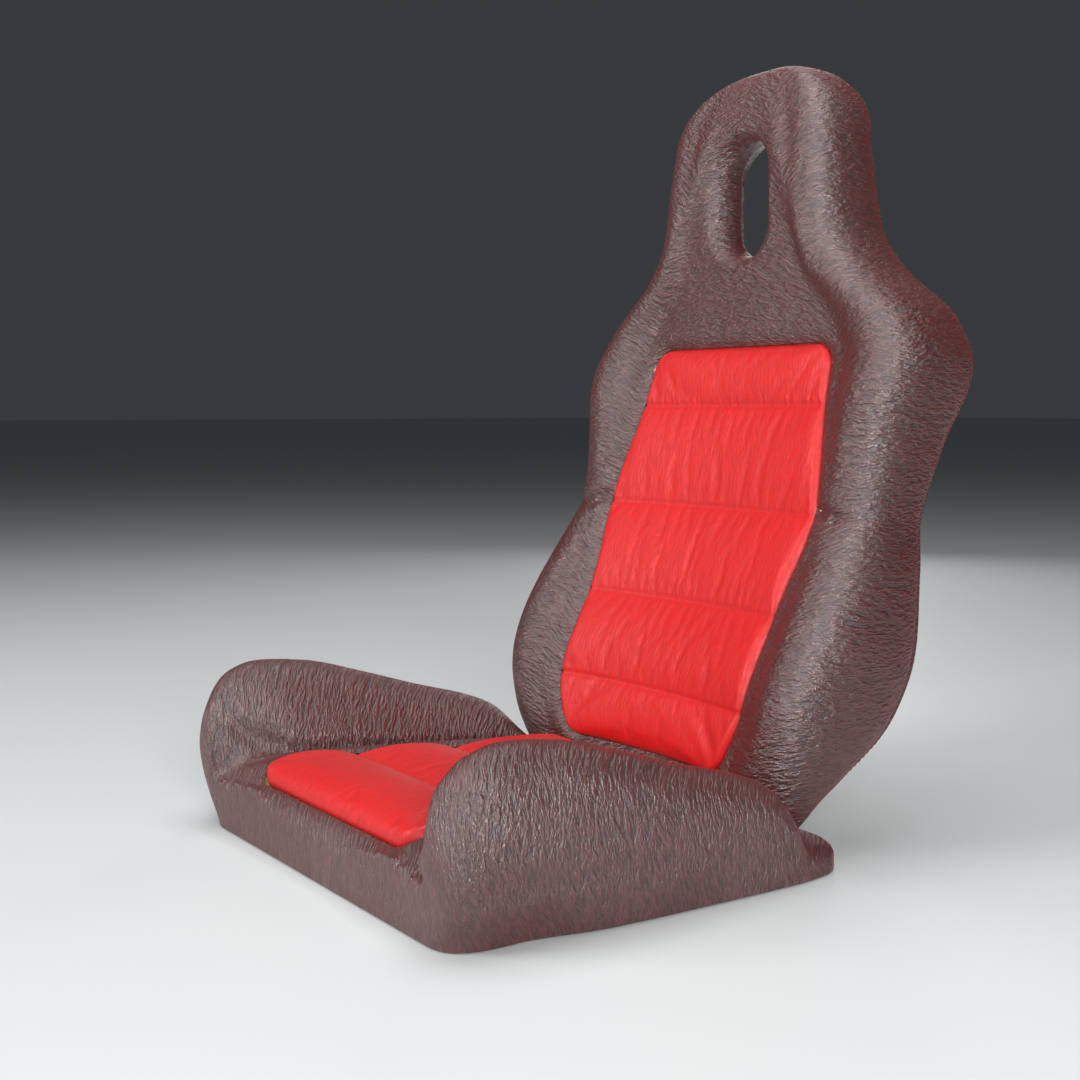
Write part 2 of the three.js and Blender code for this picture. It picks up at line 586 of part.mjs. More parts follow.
function baseBoard() {
  const plan = baseWithin(LEATHER + CORE).intersect(box([-FAR, FAR], [-FAR, FAR], BOARD_Z));
  const [left, right] = [RAIL.x - RAIL.half - RAIL_GAP, RAIL.x + RAIL.half + RAIL_GAP];
  const room = box([left, right], [RAIL.front - RAIL_GAP, RAIL.rear + RAIL_GAP], [-1, 20]);
  const holes = screwPlaces().map(([x, y]) => post(SCREW.shankR + FIT, [0, 20], x, y));
  return without(plan, room, mirrored(room), ...holes);
}

function boardScrew(x, y) {
  const head = post(SCREW.headR, SCREW.head, x, y);
  return head.add(post(SCREW.shankR, [SCREW.head[0] + 0.2, SCREW.top], x, y, 12));
}

function railNut(x, y) {
  const [low, high] = [RAIL.height + FIT, RAIL.height + FIT + NUT.height];
  return post(NUT.flats / Math.sqrt(3), [low, high], x, y, 6).subtract(post(3.4, [low - 1, high + 1], x, y));
}

// ------------------------------------------------------------------ assembly
const finish = (color, roughness, metalness = 0) => ({ color, roughness, metalness });
const LOOK = {
  darkLeather: finish(0x5a2c2c, 0.55),
  redLeather: finish(0xd8141a, 0.5),
  foam: finish(0xd9c78a, 0.95),
  steel: finish(0x2b2d30, 0.45, 0.6),
  zinc: finish(0xb9bcc0, 0.35, 0.9),
  board: finish(0x8a6a45, 0.8),
  webbing: finish(0x1e1e20, 0.9),
};

// Leaves out slivers that a cut can leave beside the piece.
function mainBody(made) {
  return made.decompose().reduce((best, part) => (part.volume() > best.volume() ? part : best));
}

function addNode(parent, name, made, look) {
  const { vertProperties, triVerts, numProp } = mainBody(made).getMesh();
  const geometry = new THREE.BufferGeometry();
  const position = new Float32Array((vertProperties.length / numProp) * 3);
  for (let i = 0; i < position.length; i++) {
    position[i] = vertProperties[Math.floor(i / 3) * numProp + (i % 3)];
  }
  geometry.setAttribute("position", new THREE.BufferAttribute(position, 3));
  geometry.setIndex([...triVerts]);
  geometry.computeVertexNormals();
  const mesh = new THREE.Mesh(geometry, new THREE.MeshStandardMaterial(look));
  mesh.name = name;
  parent.add(mesh);
  return mesh;
}

const seat = new THREE.Group();
function named(pieces, look) {
  Object.entries(pieces).forEach(([name, made]) => addNode(seat, name, made, look));
}

const { back_insert_cover, ...darkBack } = backCovers();
const { seat_insert_cover, ...darkBase } = baseCovers();
named({ back_insert_cover, seat_insert_cover }, LOOK.redLeather);
named({ ...darkBack, ...darkBase }, LOOK.darkLeather);
named({ ...backFoams(), ...baseFoams() }, LOOK.foam);
named(frameTubes(), LOOK.steel);
named({ rail_right: rail(), rail_left: mirrored(rail()) }, LOOK.steel);
addNode(seat, "base_board", baseBoard(), LOOK.board);

BACK_CHANNELS.forEach((z, i) => {
  addNode(seat, `back_listing_rod_${i + 1}`, listingRod(backRodPoints(z), ROD_R), LOOK.zinc);
});
SEAT_CHANNELS.forEach((y, i) => {
  addNode(seat, `seat_listing_rod_${i + 1}`, listingRod(seatRodPoints(y), ROD_R), LOOK.zinc);
});
BACK_WEBS.forEach((z, i) => {
  const leg = hoopAt(z);
  const web = slab(webShape(leg.x, 0, WEB.backEye), "xy", [-WEB.half, WEB.half]);
  const mesh = addNode(seat, `back_web_${i + 1}`, web, LOOK.webbing);
  mesh.position.set(0, leg.y, z);
  mesh.rotation.x = -leg.lean;
});
SEAT_WEBS.forEach((y, i) => {
  const web = slab(webShape(SIDE_PATH[4][0], FRAME_Z, WEB.seatEye), "xz", [y - WEB.half, y + WEB.half]);
  addNode(seat, `seat_web_${i + 1}`, web, LOOK.webbing);
});
[-RAIL.x, RAIL.x].flatMap((x) => RAIL.bolts.map((y) => [x, y])).forEach(([x, y], i) => {
  addNode(seat, `rail_nut_${i + 1}`, railNut(x, y), LOOK.zinc);
});
screwPlaces().forEach(([x, y], i) => {
  addNode(seat, `board_screw_${i + 1}`, boardScrew(x, y), LOOK.zinc);
});

// The frame of the part: centred on its own box, standing on z = 0.
seat.updateMatrixWorld(true);
const extent = new THREE.Box3().setFromObject(seat, true);
seat.position.set(-(extent.min.x + extent.max.x) / 2, -(extent.min.y + extent.max.y) / 2, -extent.min.z);

export default seat;
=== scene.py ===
import math

import bpy
import bmesh
import numpy as np
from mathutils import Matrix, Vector


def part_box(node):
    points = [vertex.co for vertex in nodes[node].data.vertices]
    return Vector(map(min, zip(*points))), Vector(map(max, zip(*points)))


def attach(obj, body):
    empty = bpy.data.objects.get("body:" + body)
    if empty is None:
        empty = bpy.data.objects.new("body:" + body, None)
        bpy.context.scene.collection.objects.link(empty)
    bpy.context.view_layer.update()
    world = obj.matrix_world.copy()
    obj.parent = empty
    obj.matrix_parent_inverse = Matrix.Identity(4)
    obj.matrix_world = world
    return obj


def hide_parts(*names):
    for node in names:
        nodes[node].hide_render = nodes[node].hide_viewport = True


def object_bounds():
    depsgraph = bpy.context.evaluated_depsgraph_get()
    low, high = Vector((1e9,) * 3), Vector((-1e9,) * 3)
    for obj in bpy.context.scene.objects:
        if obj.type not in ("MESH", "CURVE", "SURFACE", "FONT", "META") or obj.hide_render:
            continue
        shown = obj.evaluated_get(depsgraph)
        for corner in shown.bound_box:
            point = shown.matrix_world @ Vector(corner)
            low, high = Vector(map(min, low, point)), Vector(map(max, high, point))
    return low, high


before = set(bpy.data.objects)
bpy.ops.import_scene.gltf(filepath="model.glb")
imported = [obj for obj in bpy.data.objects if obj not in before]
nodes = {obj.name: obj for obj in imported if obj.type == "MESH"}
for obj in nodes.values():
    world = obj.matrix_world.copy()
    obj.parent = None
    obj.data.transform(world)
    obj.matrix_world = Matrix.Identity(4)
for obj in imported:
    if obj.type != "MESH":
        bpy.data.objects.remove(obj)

cad_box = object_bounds()

scene = bpy.context.scene
floor_z = cad_box[0][2]
MM = 0.001               # the tables and the named sizes below are in mm

# ---------------------------------------------------------------- the studio
# A pale seamless floor under four soft boxes: a key low on the camera's side (+X), a fill
# from almost straight ahead, a wide one overhead and a weak strip behind on the far side.

FLOOR_HALF = 60.0      # metres, so that its edge lies far behind the seat
FLOOR_DROP = 0.6 * MM  # keeps the floor clear of the rails' undersides


def linear(hex_colour):
    """An sRGB hex colour as the linear RGBA that a shader takes."""
    parts = [int(hex_colour[i:i + 2], 16) / 255 for i in (1, 3, 5)]
    return [c / 12.92 if c <= 0.04045 else ((c + 0.055) / 1.055) ** 2.4 for c in parts] + [1.0]


def add_node(tree, kind, settings=None, **inputs):
    """One shader or geometry node: settings on the node, inputs as values or output sockets."""
    node = tree.nodes.new(kind)
    for name, value in (settings or {}).items():
        setattr(node, name, value)
    for key, value in inputs.items():
        name = key.replace("_", " ")
        socket = node.inputs[int(key[1:])] if key[0] == "i" and key[1:].isdigit() else node.inputs[name]
        if isinstance(value, bpy.types.NodeSocket):
            tree.links.new(value, socket)
        else:
            socket.default_value = value
    return node


def mixed(tree, factor, low, high):
    """A colour between two, each given as a hex colour or as a node's output."""
    low, high = (linear(end) if isinstance(end, str) else end for end in (low, high))
    mix = add_node(tree, "ShaderNodeMix", {"data_type": "RGBA"}, i0=factor, i6=low, i7=high)
    return mix.outputs[2]


def new_material(name):
    """An empty node material, as (material, tree, place in the object)."""
    material = bpy.data.materials.new(name)
    material.use_nodes = True
    tree = material.node_tree
    tree.nodes.clear()
    return material, tree, add_node(tree, "ShaderNodeTexCoord").outputs["Object"]


def surfaced(material, **inputs):
    """The material, ended in a Principled shader with these inputs."""
    tree = material.node_tree
    shader = add_node(tree, "ShaderNodeBsdfPrincipled", **inputs)
    output = tree.nodes.new("ShaderNodeOutputMaterial")
    tree.links.new(shader.outputs[0], output.inputs["Surface"])
    return material


def studio_floor_material():
    """Painted cyclorama: matt white paint, rolled on, with the faintest cloudiness."""
    material, tree, where = new_material("cyclorama_paint")
    cloud = add_node(tree, "ShaderNodeTexNoise", Vector=where, Scale=1.5, Detail=3.0)
    tone = mixed(tree, cloud.outputs["Fac"], "#d3d7d8", "#dadddd")
    return surfaced(material, Base_Color=tone, Roughness=0.55)


def mesh_object(name, points, faces):
    """A new smooth-shaded object whose place is in its mesh."""
    mesh = bpy.data.meshes.new(name)
    mesh.from_pydata([tuple(p) for p in points], [], [tuple(f) for f in faces])
    mesh.validate()
    mesh.shade_smooth()
    made = bpy.data.objects.new(name, mesh)
    scene.collection.objects.link(made)
    return made


floor = mesh_object("studio_floor", [(x * FLOOR_HALF, y * FLOOR_HALF, floor_z - FLOOR_DROP)
                                     for x, y in ((-1, -1), (1, -1), (1, 1), (-1, 1))], [(0, 1, 2, 3)])
floor.data.materials.append(studio_floor_material())

world = bpy.data.worlds.new("studio_air")
world.use_nodes = True
world.node_tree.nodes["Background"].inputs["Color"].default_value = linear("#8b9196")
world.node_tree.nodes["Background"].inputs["Strength"].default_value = 0.15
scene.world = world
scene.view_settings.view_transform = "Standard"


def soft_box(name, place, aim, size, watts, tint="#ffffff"):
    """A rectangular soft light at a place, turned towards a point."""
    light = bpy.data.lights.new(name, "AREA")
    light.shape = "RECTANGLE"
    light.size, light.size_y = size
    light.energy = watts
    light.color = linear(tint)[:3]
    lamp = bpy.data.objects.new(name, light)
    lamp.location = place
    lamp.rotation_euler = (Vector(aim) - Vector(place)).to_track_quat("-Z", "Y").to_euler()
    scene.collection.objects.link(lamp)
    return lamp


chest = (0.0, 0.1, 0.4)
soft_box("key_box", (2.6, -1.35, 1.0), chest, (1.2, 1.2), 88)
soft_box("fill_box", (-0.9, -3.2, 1.7), chest, (1.6, 1.6), 74)
soft_box("top_box", (0.0, 0.0, 3.4), chest, (2.6, 2.4), 72)
soft_box("edge_strip", (-2.0, 2.2, 1.4), chest, (0.7, 2.0), 12)

# Three-quarter view from the front on the +X side, which the nodes' names call right,
# level with the middle of the back and tilted 5 degrees down.
camera_data = bpy.data.cameras.new("camera")
camera_data.sensor_width = 36
camera_data.lens = 50
camera = bpy.data.objects.new("camera", camera_data)
camera.location = (1.343, -0.9874, 0.473)
camera.rotation_euler = (math.radians(90 - 5.011), 0, math.radians(55.479))
scene.collection.objects.link(camera)
scene.camera = camera

# ------------------------------------------------- tube frame, plates and rails
# Mild steel tube bent and welded, hip plates laser cut, rails from flat bar, all
# powder coated black in one go: satin, with fine orange peel and grey rubbed edges.


def dress(material, *names):
    """Gives CAD nodes a finished material in place of the plain one they came with."""
    for name in names:
        for material_slot in nodes[name].material_slots:
            material_slot.material = material


def powder_coat():
    """Black polyester powder coat: the skin flows out into a 3 mm orange peel."""
    material, tree, where = new_material("black_powder_coat")
    peel = add_node(tree, "ShaderNodeTexNoise", Vector=where, Scale=330.0, Detail=2.0)
    dust = add_node(tree, "ShaderNodeTexNoise", Vector=where, Scale=22.0, Detail=5.0)
    worn = add_node(tree, "ShaderNodeNewGeometry").outputs["Pointiness"]
    rubbed = add_node(tree, "ShaderNodeMapRange", Value=worn, i1=0.53, i2=0.60)
    coat = mixed(tree, dust.outputs["Fac"], "#17181a", "#25272a")
    tone = mixed(tree, rubbed.outputs[0], coat, "#5c5f63")
    gloss = add_node(tree, "ShaderNodeMapRange", Value=dust.outputs["Fac"], i3=0.32, i4=0.5)
    bump = add_node(tree, "ShaderNodeBump", Strength=0.35, Distance=0.0004, Height=peel.outputs["Fac"])
    return surfaced(material, Base_Color=tone, Roughness=gloss.outputs[0],
                    Normal=bump.outputs[0])


dress(powder_coat(), "back_hoop", "base_hoop", "rear_cross_tube", "lumbar_cross_tube",
      "shoulder_cross_tube", "hip_plate_right", "hip_plate_left", "rail_right", "rail_left")

# ------------------------------------------------ screws, nuts and listing rods
# Zinc-plated steel: bright bluish passivated zinc, matt from the bath, with fine
# drawn lines along the rods and on the flats.


def zinc_plate():
    """Blue passivated zinc on drawn wire and cold-headed screws."""
    material, tree, where = new_material("passivated_zinc")
    bath = add_node(tree, "ShaderNodeTexNoise", Vector=where, Scale=160.0, Detail=4.0)
    tone = mixed(tree, bath.outputs["Fac"], "#a9adb4", "#cfd0cb")
    gloss = add_node(tree, "ShaderNodeMapRange", Value=bath.outputs["Fac"], i3=0.24, i4=0.46)
    bump = add_node(tree, "ShaderNodeBump", Strength=0.25, Distance=0.0002, Height=bath.outputs["Fac"])
    return surfaced(material, Base_Color=tone, Metallic=1.0, Roughness=gloss.outputs[0],
                    Normal=bump.outputs[0])


dress(zinc_plate(), *[name for name in nodes if name.startswith(("rail_nut", "board_screw"))],
      *[name for name in nodes if "listing_rod" in name])

# --------------------------------------------------------------- base board
# Birch plywood closing the base from below, faces sanded, edges showing the plies.


def birch_board():
    """Birch ply: pale brown, long soft grain with small flecks, dry to the touch."""
    material, tree, where = new_material("birch_plywood")
    along = add_node(tree, "ShaderNodeMapping", Vector=where, Scale=(9.0, 150.0, 900.0))
    grain = add_node(tree, "ShaderNodeTexNoise", Vector=along.outputs[0], Scale=1.0, Detail=6.0,
                     Roughness=0.62, Distortion=0.8)
    tone = add_node(tree, "ShaderNodeValToRGB", Fac=grain.outputs["Fac"])
    for at, shade in ((0.32, "#7c5a38"), (0.52, "#b48c5e"), (0.72, "#cda97b")):
        stop = tone.color_ramp.elements.new(at)
        stop.color = linear(shade)
    tone.color_ramp.elements.remove(tone.color_ramp.elements[0])
    tone.color_ramp.elements.remove(tone.color_ramp.elements[-1])
    bump = add_node(tree, "ShaderNodeBump", Strength=0.4, Distance=0.0003, Height=grain.outputs["Fac"])
    return surfaced(material, Base_Color=tone.outputs["Color"], Roughness=0.72,
                    Normal=bump.outputs[0])


dress(birch_board(), "base_board")

# ------------------------------------------------------------- elastic webbing
# Rubber-cored upholstery webbing, woven black with a rib every 2 mm, eyes sewn
# round the tubes on each side.


def rib_webbing():
    """Woven elastic: ribs across the strap, with the dull lustre of polypropylene yarn."""
    material, tree, where = new_material("elastic_webbing")
    rib = add_node(tree, "ShaderNodeTexWave", {"bands_direction": "X"}, Vector=where, Scale=160.0,
                   Distortion=0.4)
    yarn = add_node(tree, "ShaderNodeTexWave", {"bands_direction": "Z"}, Vector=where, Scale=260.0,
                    Distortion=0.6)
    weave = add_node(tree, "ShaderNodeMath", {"operation": "MULTIPLY"}, i0=rib.outputs["Fac"],
                     i1=yarn.outputs["Fac"])
    tone = mixed(tree, weave.outputs[0], "#101012", "#3a3a3e")
    bump = add_node(tree, "ShaderNodeBump", Strength=0.7, Distance=0.0006, Height=weave.outputs[0])
    return surfaced(material, Base_Color=tone, Roughness=0.8, Normal=bump.outputs[0])


dress(rib_webbing(), *[name for name in nodes if "_web_" in name])

# --------------------------------------------------------------- moulded foam
# Cold-cured polyurethane pads, cream, with an open skin: round cells of 1 to 2 mm
# and a few larger blown ones.


def moulded_foam():
    """Cream polyurethane foam, dull, cellular, yellower in its hollows."""
    material, tree, where = new_material("cold_cured_foam")
    cells = add_node(tree, "ShaderNodeTexVoronoi", Vector=where, Scale=620.0)
    blown = add_node(tree, "ShaderNodeTexNoise", Vector=where, Scale=70.0, Detail=4.0)
    tone = mixed(tree, blown.outputs["Fac"], "#c9b074", "#eadcae")
    bump = add_node(tree, "ShaderNodeBump", Strength=0.6, Distance=0.0008,
                    Height=cells.outputs["Distance"])
    return surfaced(material, Base_Color=tone, Roughness=0.95, Normal=bump.outputs[0])


dress(moulded_foam(), *[name for name in nodes if name.endswith("foam") or "_foam_" in name])

# ---------------------------------------------------------- leather of the back
# Front cover (with the harness hole's lining sewn in) and rear panel: cowhide on thin
# scrim foam, pulled over the moulded pads, drum dyed oxblood, creased by the pull.
# The tables hold (height, value) or (depth, value) in mm; a smooth curve joins them.

depth_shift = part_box("rail_right")[0][1] + 190 * MM   # the tables count depth from the rails' datum
BACK_BOTTOM, BACK_TOP, DOME_START = 12, 874, 780
FRONT_Y = [(12, 205), (85, 208), (150, 218), (250, 262), (360, 306), (480, 336), (550, 349),
           (640, 344), (720, 340), (800, 345)]
REAR_Y = [(12, 240), (40, 256), (80, 310), (130, 358), (200, 388), (270, 396), (340, 408),
          (430, 440), (510, 472), (580, 474), (660, 458), (800, 446)]
MIDDLE_Y = [(-60, 226), (12, 226), (60, 244), (100, 264), (170, 300), (260, 327), (350, 352),
            (440, 384), (510, 407), (575, 412), (632, 404), (700, 398), (900, 397)]
BACK_HALF = [(12, 214), (30, 222), (80, 246), (150, 270), (220, 276), (300, 268), (360, 256),
             (440, 262), (520, 274), (570, 250), (630, 182), (680, 149), (750, 137), (800, 130)]
BACK_DISH = [(12, 0), (100, 16), (360, 14), (480, 8), (580, 0)]
WING_RISE = [(12, 0), (120, 18), (220, 28), (360, 8), (500, 26), (600, 14), (700, 6), (800, 3)]
PANEL_HALF = [(12, 130), (75, 140), (148, 166), (250, 168), (355, 181), (477, 160), (548, 150),
              (640, 100), (720, 85), (800, 65)]
PANEL_BOTTOM, PANEL_TOP, PANEL_CORNER = 74, 548, 26
HOLE_HALF, HOLE_BOTTOM, HOLE_TOP = 38, 652, 786
HOLE_FRONT, HOLE_REAR = 318, 480
HOLE_ACROSS = [(HOLE_FRONT, 42), (333, 24), (344, 13), (356, 4), (374, 0), (392, 10), (418, 40),
               (446, 66), (HOLE_REAR, 96)]
HOLE_UP = [(HOLE_FRONT, 34), (333, 20), (344, 11), (356, 3), (374, 0), (392, 3), (418, 12),
           (446, 24), (HOLE_REAR, 40)]
HEAD_RIDGE = [(540, 168), (600, 136), (659, 113), (716, 89), (773, 65), (830, 44)]
LEATHER = 3.6                        # hide with its scrim foam
VOXEL = 4.0
EASING_TURNS = 8
HOLE_EASING, HOLE_EASING_REAR = 30, 470   # how far the hole's own easing reaches, and where it ends

ROLL = (5.5, 9)                      # depth and width of a cover's roll into an insert's window
WELT_HEIGHT, WELT_PLACE, WELT_WIDTH = 2.0, 14, 8
RIDGE_HEIGHT, RIDGE_WIDTH, RIDGE_LOW, RIDGE_HIGH = 4.5, 15, 590, 838
WAIST_DEPTH, WAIST_LEVEL, WAIST_SLOPE, WAIST_WIDTH = 9.0, 360, 0.12, 9
WAIST_INNER, WAIST_OUTER = 200, 262  # half widths where the crease is deep and where it has run out
SEAM_PLACE, SEAM_DEPTH, SEAM_WIDTH, SEAM_OFF_HOLE = 0.68, 2.2, 5, 70
DEEPEST = 6.2                        # no groove of the back is deeper
HEEL_HEIGHT, HEEL_LEVEL, HEEL_WIDTH = 4.4, 43, 17
SEAM_GAP = 0.15                      # half the gap between the back's two covers
UNDER_INSERT = 1.5                   # how far a cover's edge reaches into an insert's window
FAR_OFF = 50                         # a distance outside every window, for parts that face away


def station(table, t):
    """Smooth curve through a table of (place, value), without overshoot; t may be an array."""
    xs, ys = np.array(table, float).T
    x = np.clip(np.asarray(t, float), xs[0], xs[-1])
    step = np.diff(xs)
    slope = np.diff(ys) / step
    tangent = np.zeros(len(xs))
    same = slope[:-1] * slope[1:] > 0
    tangent[1:-1][same] = (2 * slope[:-1] * slope[1:] / np.where(same, slope[:-1] + slope[1:], 1))[same]
    tangent[0], tangent[-1] = slope[0], slope[-1]
    i = np.clip(np.searchsorted(xs, x, side="right") - 1, 0, len(xs) - 2)
    u = (x - xs[i]) / step[i]
    return ((1 + 2 * u) * (1 - u) ** 2 * ys[i] + u * (1 - u) ** 2 * step[i] * tangent[i]
            + u * u * (3 - 2 * u) * ys[i + 1] + u * u * (u - 1) * step[i] * tangent[i + 1])


def smooth(v):
    """0 to 1 with soft ends."""
    v = np.clip(v, 0, 1)
    return v * v * (3 - 2 * v)


def hump(v, width):
    """A soft bump of height 1 at v = 0."""
    return np.exp(-(v / width) ** 2)


def rolled(distance, depth, width):
    """How far a border has rolled down, as a quarter round, at a distance inside its edge."""
    w = np.clip(1 - distance / width, 0, 1)
    return depth * (1 - np.sqrt(1 - w * w))


def to_metres(points):
    """Points of the tables, in mm, as places in the scene."""
    return points * MM + (0, depth_shift, 0)


def read_points(mesh, what="co"):
    """The places or the normals of a mesh's points, one row each."""
    values = np.zeros(len(mesh.vertices) * 3)
    mesh.vertices.foreach_get(what, values)
    return values.reshape(-1, 3)


def back_levels(z):
    """The sizes that shape a level slice of the back at a height."""
    z = np.asarray(z, float)
    domed = np.clip((z - DOME_START) / (BACK_TOP - DOME_START), 0, 1)
    level = np.minimum(z, DOME_START)
    half = station(BACK_HALF, level) * np.sqrt(1 - domed ** 2.2)
    middle = (station(FRONT_Y, level) + station(REAR_Y, level)) / 2 + 8 * domed
    deep = (station(REAR_Y, level) - station(FRONT_Y, level)) / 2 * np.sqrt(1 - domed ** 2.4)
    panel = np.minimum(station(PANEL_HALF, level), half * 0.7)
    edge = middle - deep - station(BACK_DISH, level) * (1 - domed)
    crest = edge - station(WING_RISE, level) * (1 - domed)
    crest_x = np.maximum(half - np.minimum(45, half * 0.25), panel + half * 0.02)
    return domed, half, middle - deep, middle + deep, panel, edge, crest, crest_x


def back_ring(z):
    """One closed level slice of the back, in mm, from the front centre round by the right."""
    domed, half, front, rear, panel, edge, crest, crest_x = (float(v) for v in back_levels(z))
    side = crest + 0.45 * (rear - crest)
    rear_x = half - min(50, half * 0.3)
    u = np.linspace(0, 1, 30, endpoint=False)
    flat = np.column_stack([panel * u, front + (edge - front) * u * u])
    u = np.linspace(0, 1, 20, endpoint=False)
    rise = np.column_stack([panel + (crest_x - panel) * u,
                            edge + (crest - edge) * (1 - np.cos(np.pi * u)) / 2])
    a = np.linspace(0, np.pi / 2, 22, endpoint=False)
    turn = np.column_stack([crest_x + (half - crest_x) * np.sin(a) ** 0.9,
                            side - (side - crest) * np.cos(a) ** 0.8])
    tail = np.column_stack([rear_x + (half - rear_x) * np.cos(a) ** 0.8,
                            side + (rear - side) * np.sin(a) ** 0.9])
    x = rear_x * (1 - np.linspace(0, 1, 36))
    crown = np.column_stack([x, rear + 6 * (1 - domed) * (1 - (x / rear_x) ** 2)])
    right = np.vstack([flat, rise, turn, tail, crown])
    left = right[-2:0:-1] * (-1, 1)
    ring = np.vstack([right, left])
    return np.column_stack([ring, np.full(len(ring), z)])


def lofted(name, rings):
    """A closed skin over rings with as many points each; both ends are fanned shut."""
    size, count = len(rings[0]), len(rings)
    points = to_metres(np.vstack([*rings, rings[0].mean(0), rings[-1].mean(0)]))
    faces = [(r * size + i, r * size + (i + 1) % size, (r + 1) * size + (i + 1) % size,
              (r + 1) * size + i) for r in range(count - 1) for i in range(size)]
    first, last = size * count, size * count + 1
    faces += [((i + 1) % size, i, first) for i in range(size)]
    faces += [((count - 1) * size + i, (count - 1) * size + (i + 1) % size, last) for i in range(size)]
    made = mesh_object(name, points, faces)
    work = bmesh.new()
    work.from_mesh(made.data)
    bmesh.ops.remove_doubles(work, verts=work.verts, dist=1e-6)
    bmesh.ops.recalc_face_normals(work, faces=work.faces)
    work.to_mesh(made.data)
    work.free()
    return made


def baked(obj):
    """The object's modifiers turned into its plain mesh."""
    shown = obj.evaluated_get(bpy.context.evaluated_depsgraph_get())
    mesh = bpy.data.meshes.new_from_object(shown)
    obj.modifiers.clear()
    obj.data = mesh
    return obj


def remeshed(obj, voxel):
    """An even skin of small quads over a closed form; gives its points in mm and its triangles."""
    skin = obj.modifiers.new("skin", "REMESH")
    skin.mode = "VOXEL"
    skin.voxel_size = voxel * MM
    baked(obj)
    mesh = obj.data
    points = read_points(mesh)
    points[:, 1] -= depth_shift
    mesh.calc_loop_triangles()
    corners = np.zeros(len(mesh.loop_triangles) * 3, int)
    mesh.loop_triangles.foreach_get("vertices", corners)
    bpy.data.objects.remove(obj)
    return points / MM, corners.reshape(-1, 3)


def neighbours(triangles):
    """Each edge of the triangles once, as two columns of point numbers."""
    pairs = np.vstack([triangles[:, [0, 1]], triangles[:, [1, 2]], triangles[:, [2, 0]]])
    return np.unique(np.sort(pairs, axis=1), axis=0)


PULL_IN, PUSH_OUT = 0.5, -0.52       # one turn of easing; the push gives the size back


def eased(points, triangles, turns, keep_size=True, weight=1.0):
    """Irons the skin: every point moves towards the middle of its neighbours."""
    one, two = neighbours(triangles).T
    count = np.bincount(np.concatenate([one, two]), minlength=len(points))
    weight = np.broadcast_to(weight, len(points))[:, None]
    for _ in range(turns):
        for pull in ((PULL_IN, PUSH_OUT) if keep_size else (PULL_IN,)):
            total = np.column_stack([np.bincount(one, points[two, k], len(points))
                                     + np.bincount(two, points[one, k], len(points)) for k in range(3)])
            points = points + pull * weight * (total / np.maximum(count, 1)[:, None] - points)
    return points


def facing(points, triangles):
    """Unit normals at the points."""
    across = np.cross(points[triangles[:, 1]] - points[triangles[:, 0]],
                      points[triangles[:, 2]] - points[triangles[:, 0]])
    normal = np.column_stack([sum(np.bincount(triangles[:, corner], across[:, k], len(points))
                                  for corner in range(3)) for k in range(3)])
    return normal / np.maximum(np.linalg.norm(normal, axis=1), 1e-12)[:, None]


def trimmed(points, triangles, field):
    """Cuts the skin along field = 0 and keeps where the field is positive."""
    inside = field >= 0
    kept = inside[triangles].sum(1)
    whole = triangles[kept == 3]
    fresh, made, pieces = {}, [], []

    def crossing(a, b):
        key = (min(a, b), max(a, b))
        if key not in fresh:
            t = field[a] / (field[a] - field[b])
            fresh[key] = len(points) + len(made)
            made.append(points[a] + t * (points[b] - points[a]))
        return fresh[key]

    for face in triangles[(kept == 1) | (kept == 2)]:
        face = [int(v) for v in face]
        while not (inside[face[0]] and not inside[face[2]]):
            face = face[1:] + face[:1]
        a, b, c = face
        if inside[b]:
            d, e = crossing(b, c), crossing(a, c)
            pieces += [(a, b, d), (a, d, e)]
        else:
            pieces.append((a, crossing(a, b), crossing(a, c)))
    triangles = np.vstack([whole, np.array(pieces, int).reshape(-1, 3)])
    points = np.vstack([points, np.array(made).reshape(-1, 3)])
    used = np.unique(triangles)
    number = np.full(len(points), -1)
    number[used] = np.arange(len(used))
    return points[used], number[triangles]


def leather_piece(name, points, triangles, creases, thick, material):
    """A skin given its leather's thickness inwards, its crease direction and its material."""
    made = mesh_object(name, to_metres(points), triangles)
    pattern = made.data.attributes.new("creases", "FLOAT_VECTOR", "POINT")
    pattern.data.foreach_set("vector", creases(points).ravel())
    wall = made.modifiers.new("leather", "SOLIDIFY")
    wall.thickness = thick * MM
    wall.offset = -1
    baked(made)
    made.data.shade_smooth()
    made.data.set_sharp_from_angle(angle=math.radians(62))
    made.data.materials.clear()
    made.data.materials.append(material)
    return made


CREASE_GAP, CREASE_LENGTH = 3.6, 13.0


def back_creases(points):
    """Creases run across the back and fall towards the two ridges of the head."""
    x, y, z = points.T
    from_ridge = np.abs(np.abs(x) - station(HEAD_RIDGE, z))
    fall = 0.45 * 70 * (1 - np.exp(-from_ridge / 70))
    return np.column_stack([x / CREASE_LENGTH, y / CREASE_LENGTH, (z - fall) / CREASE_GAP])


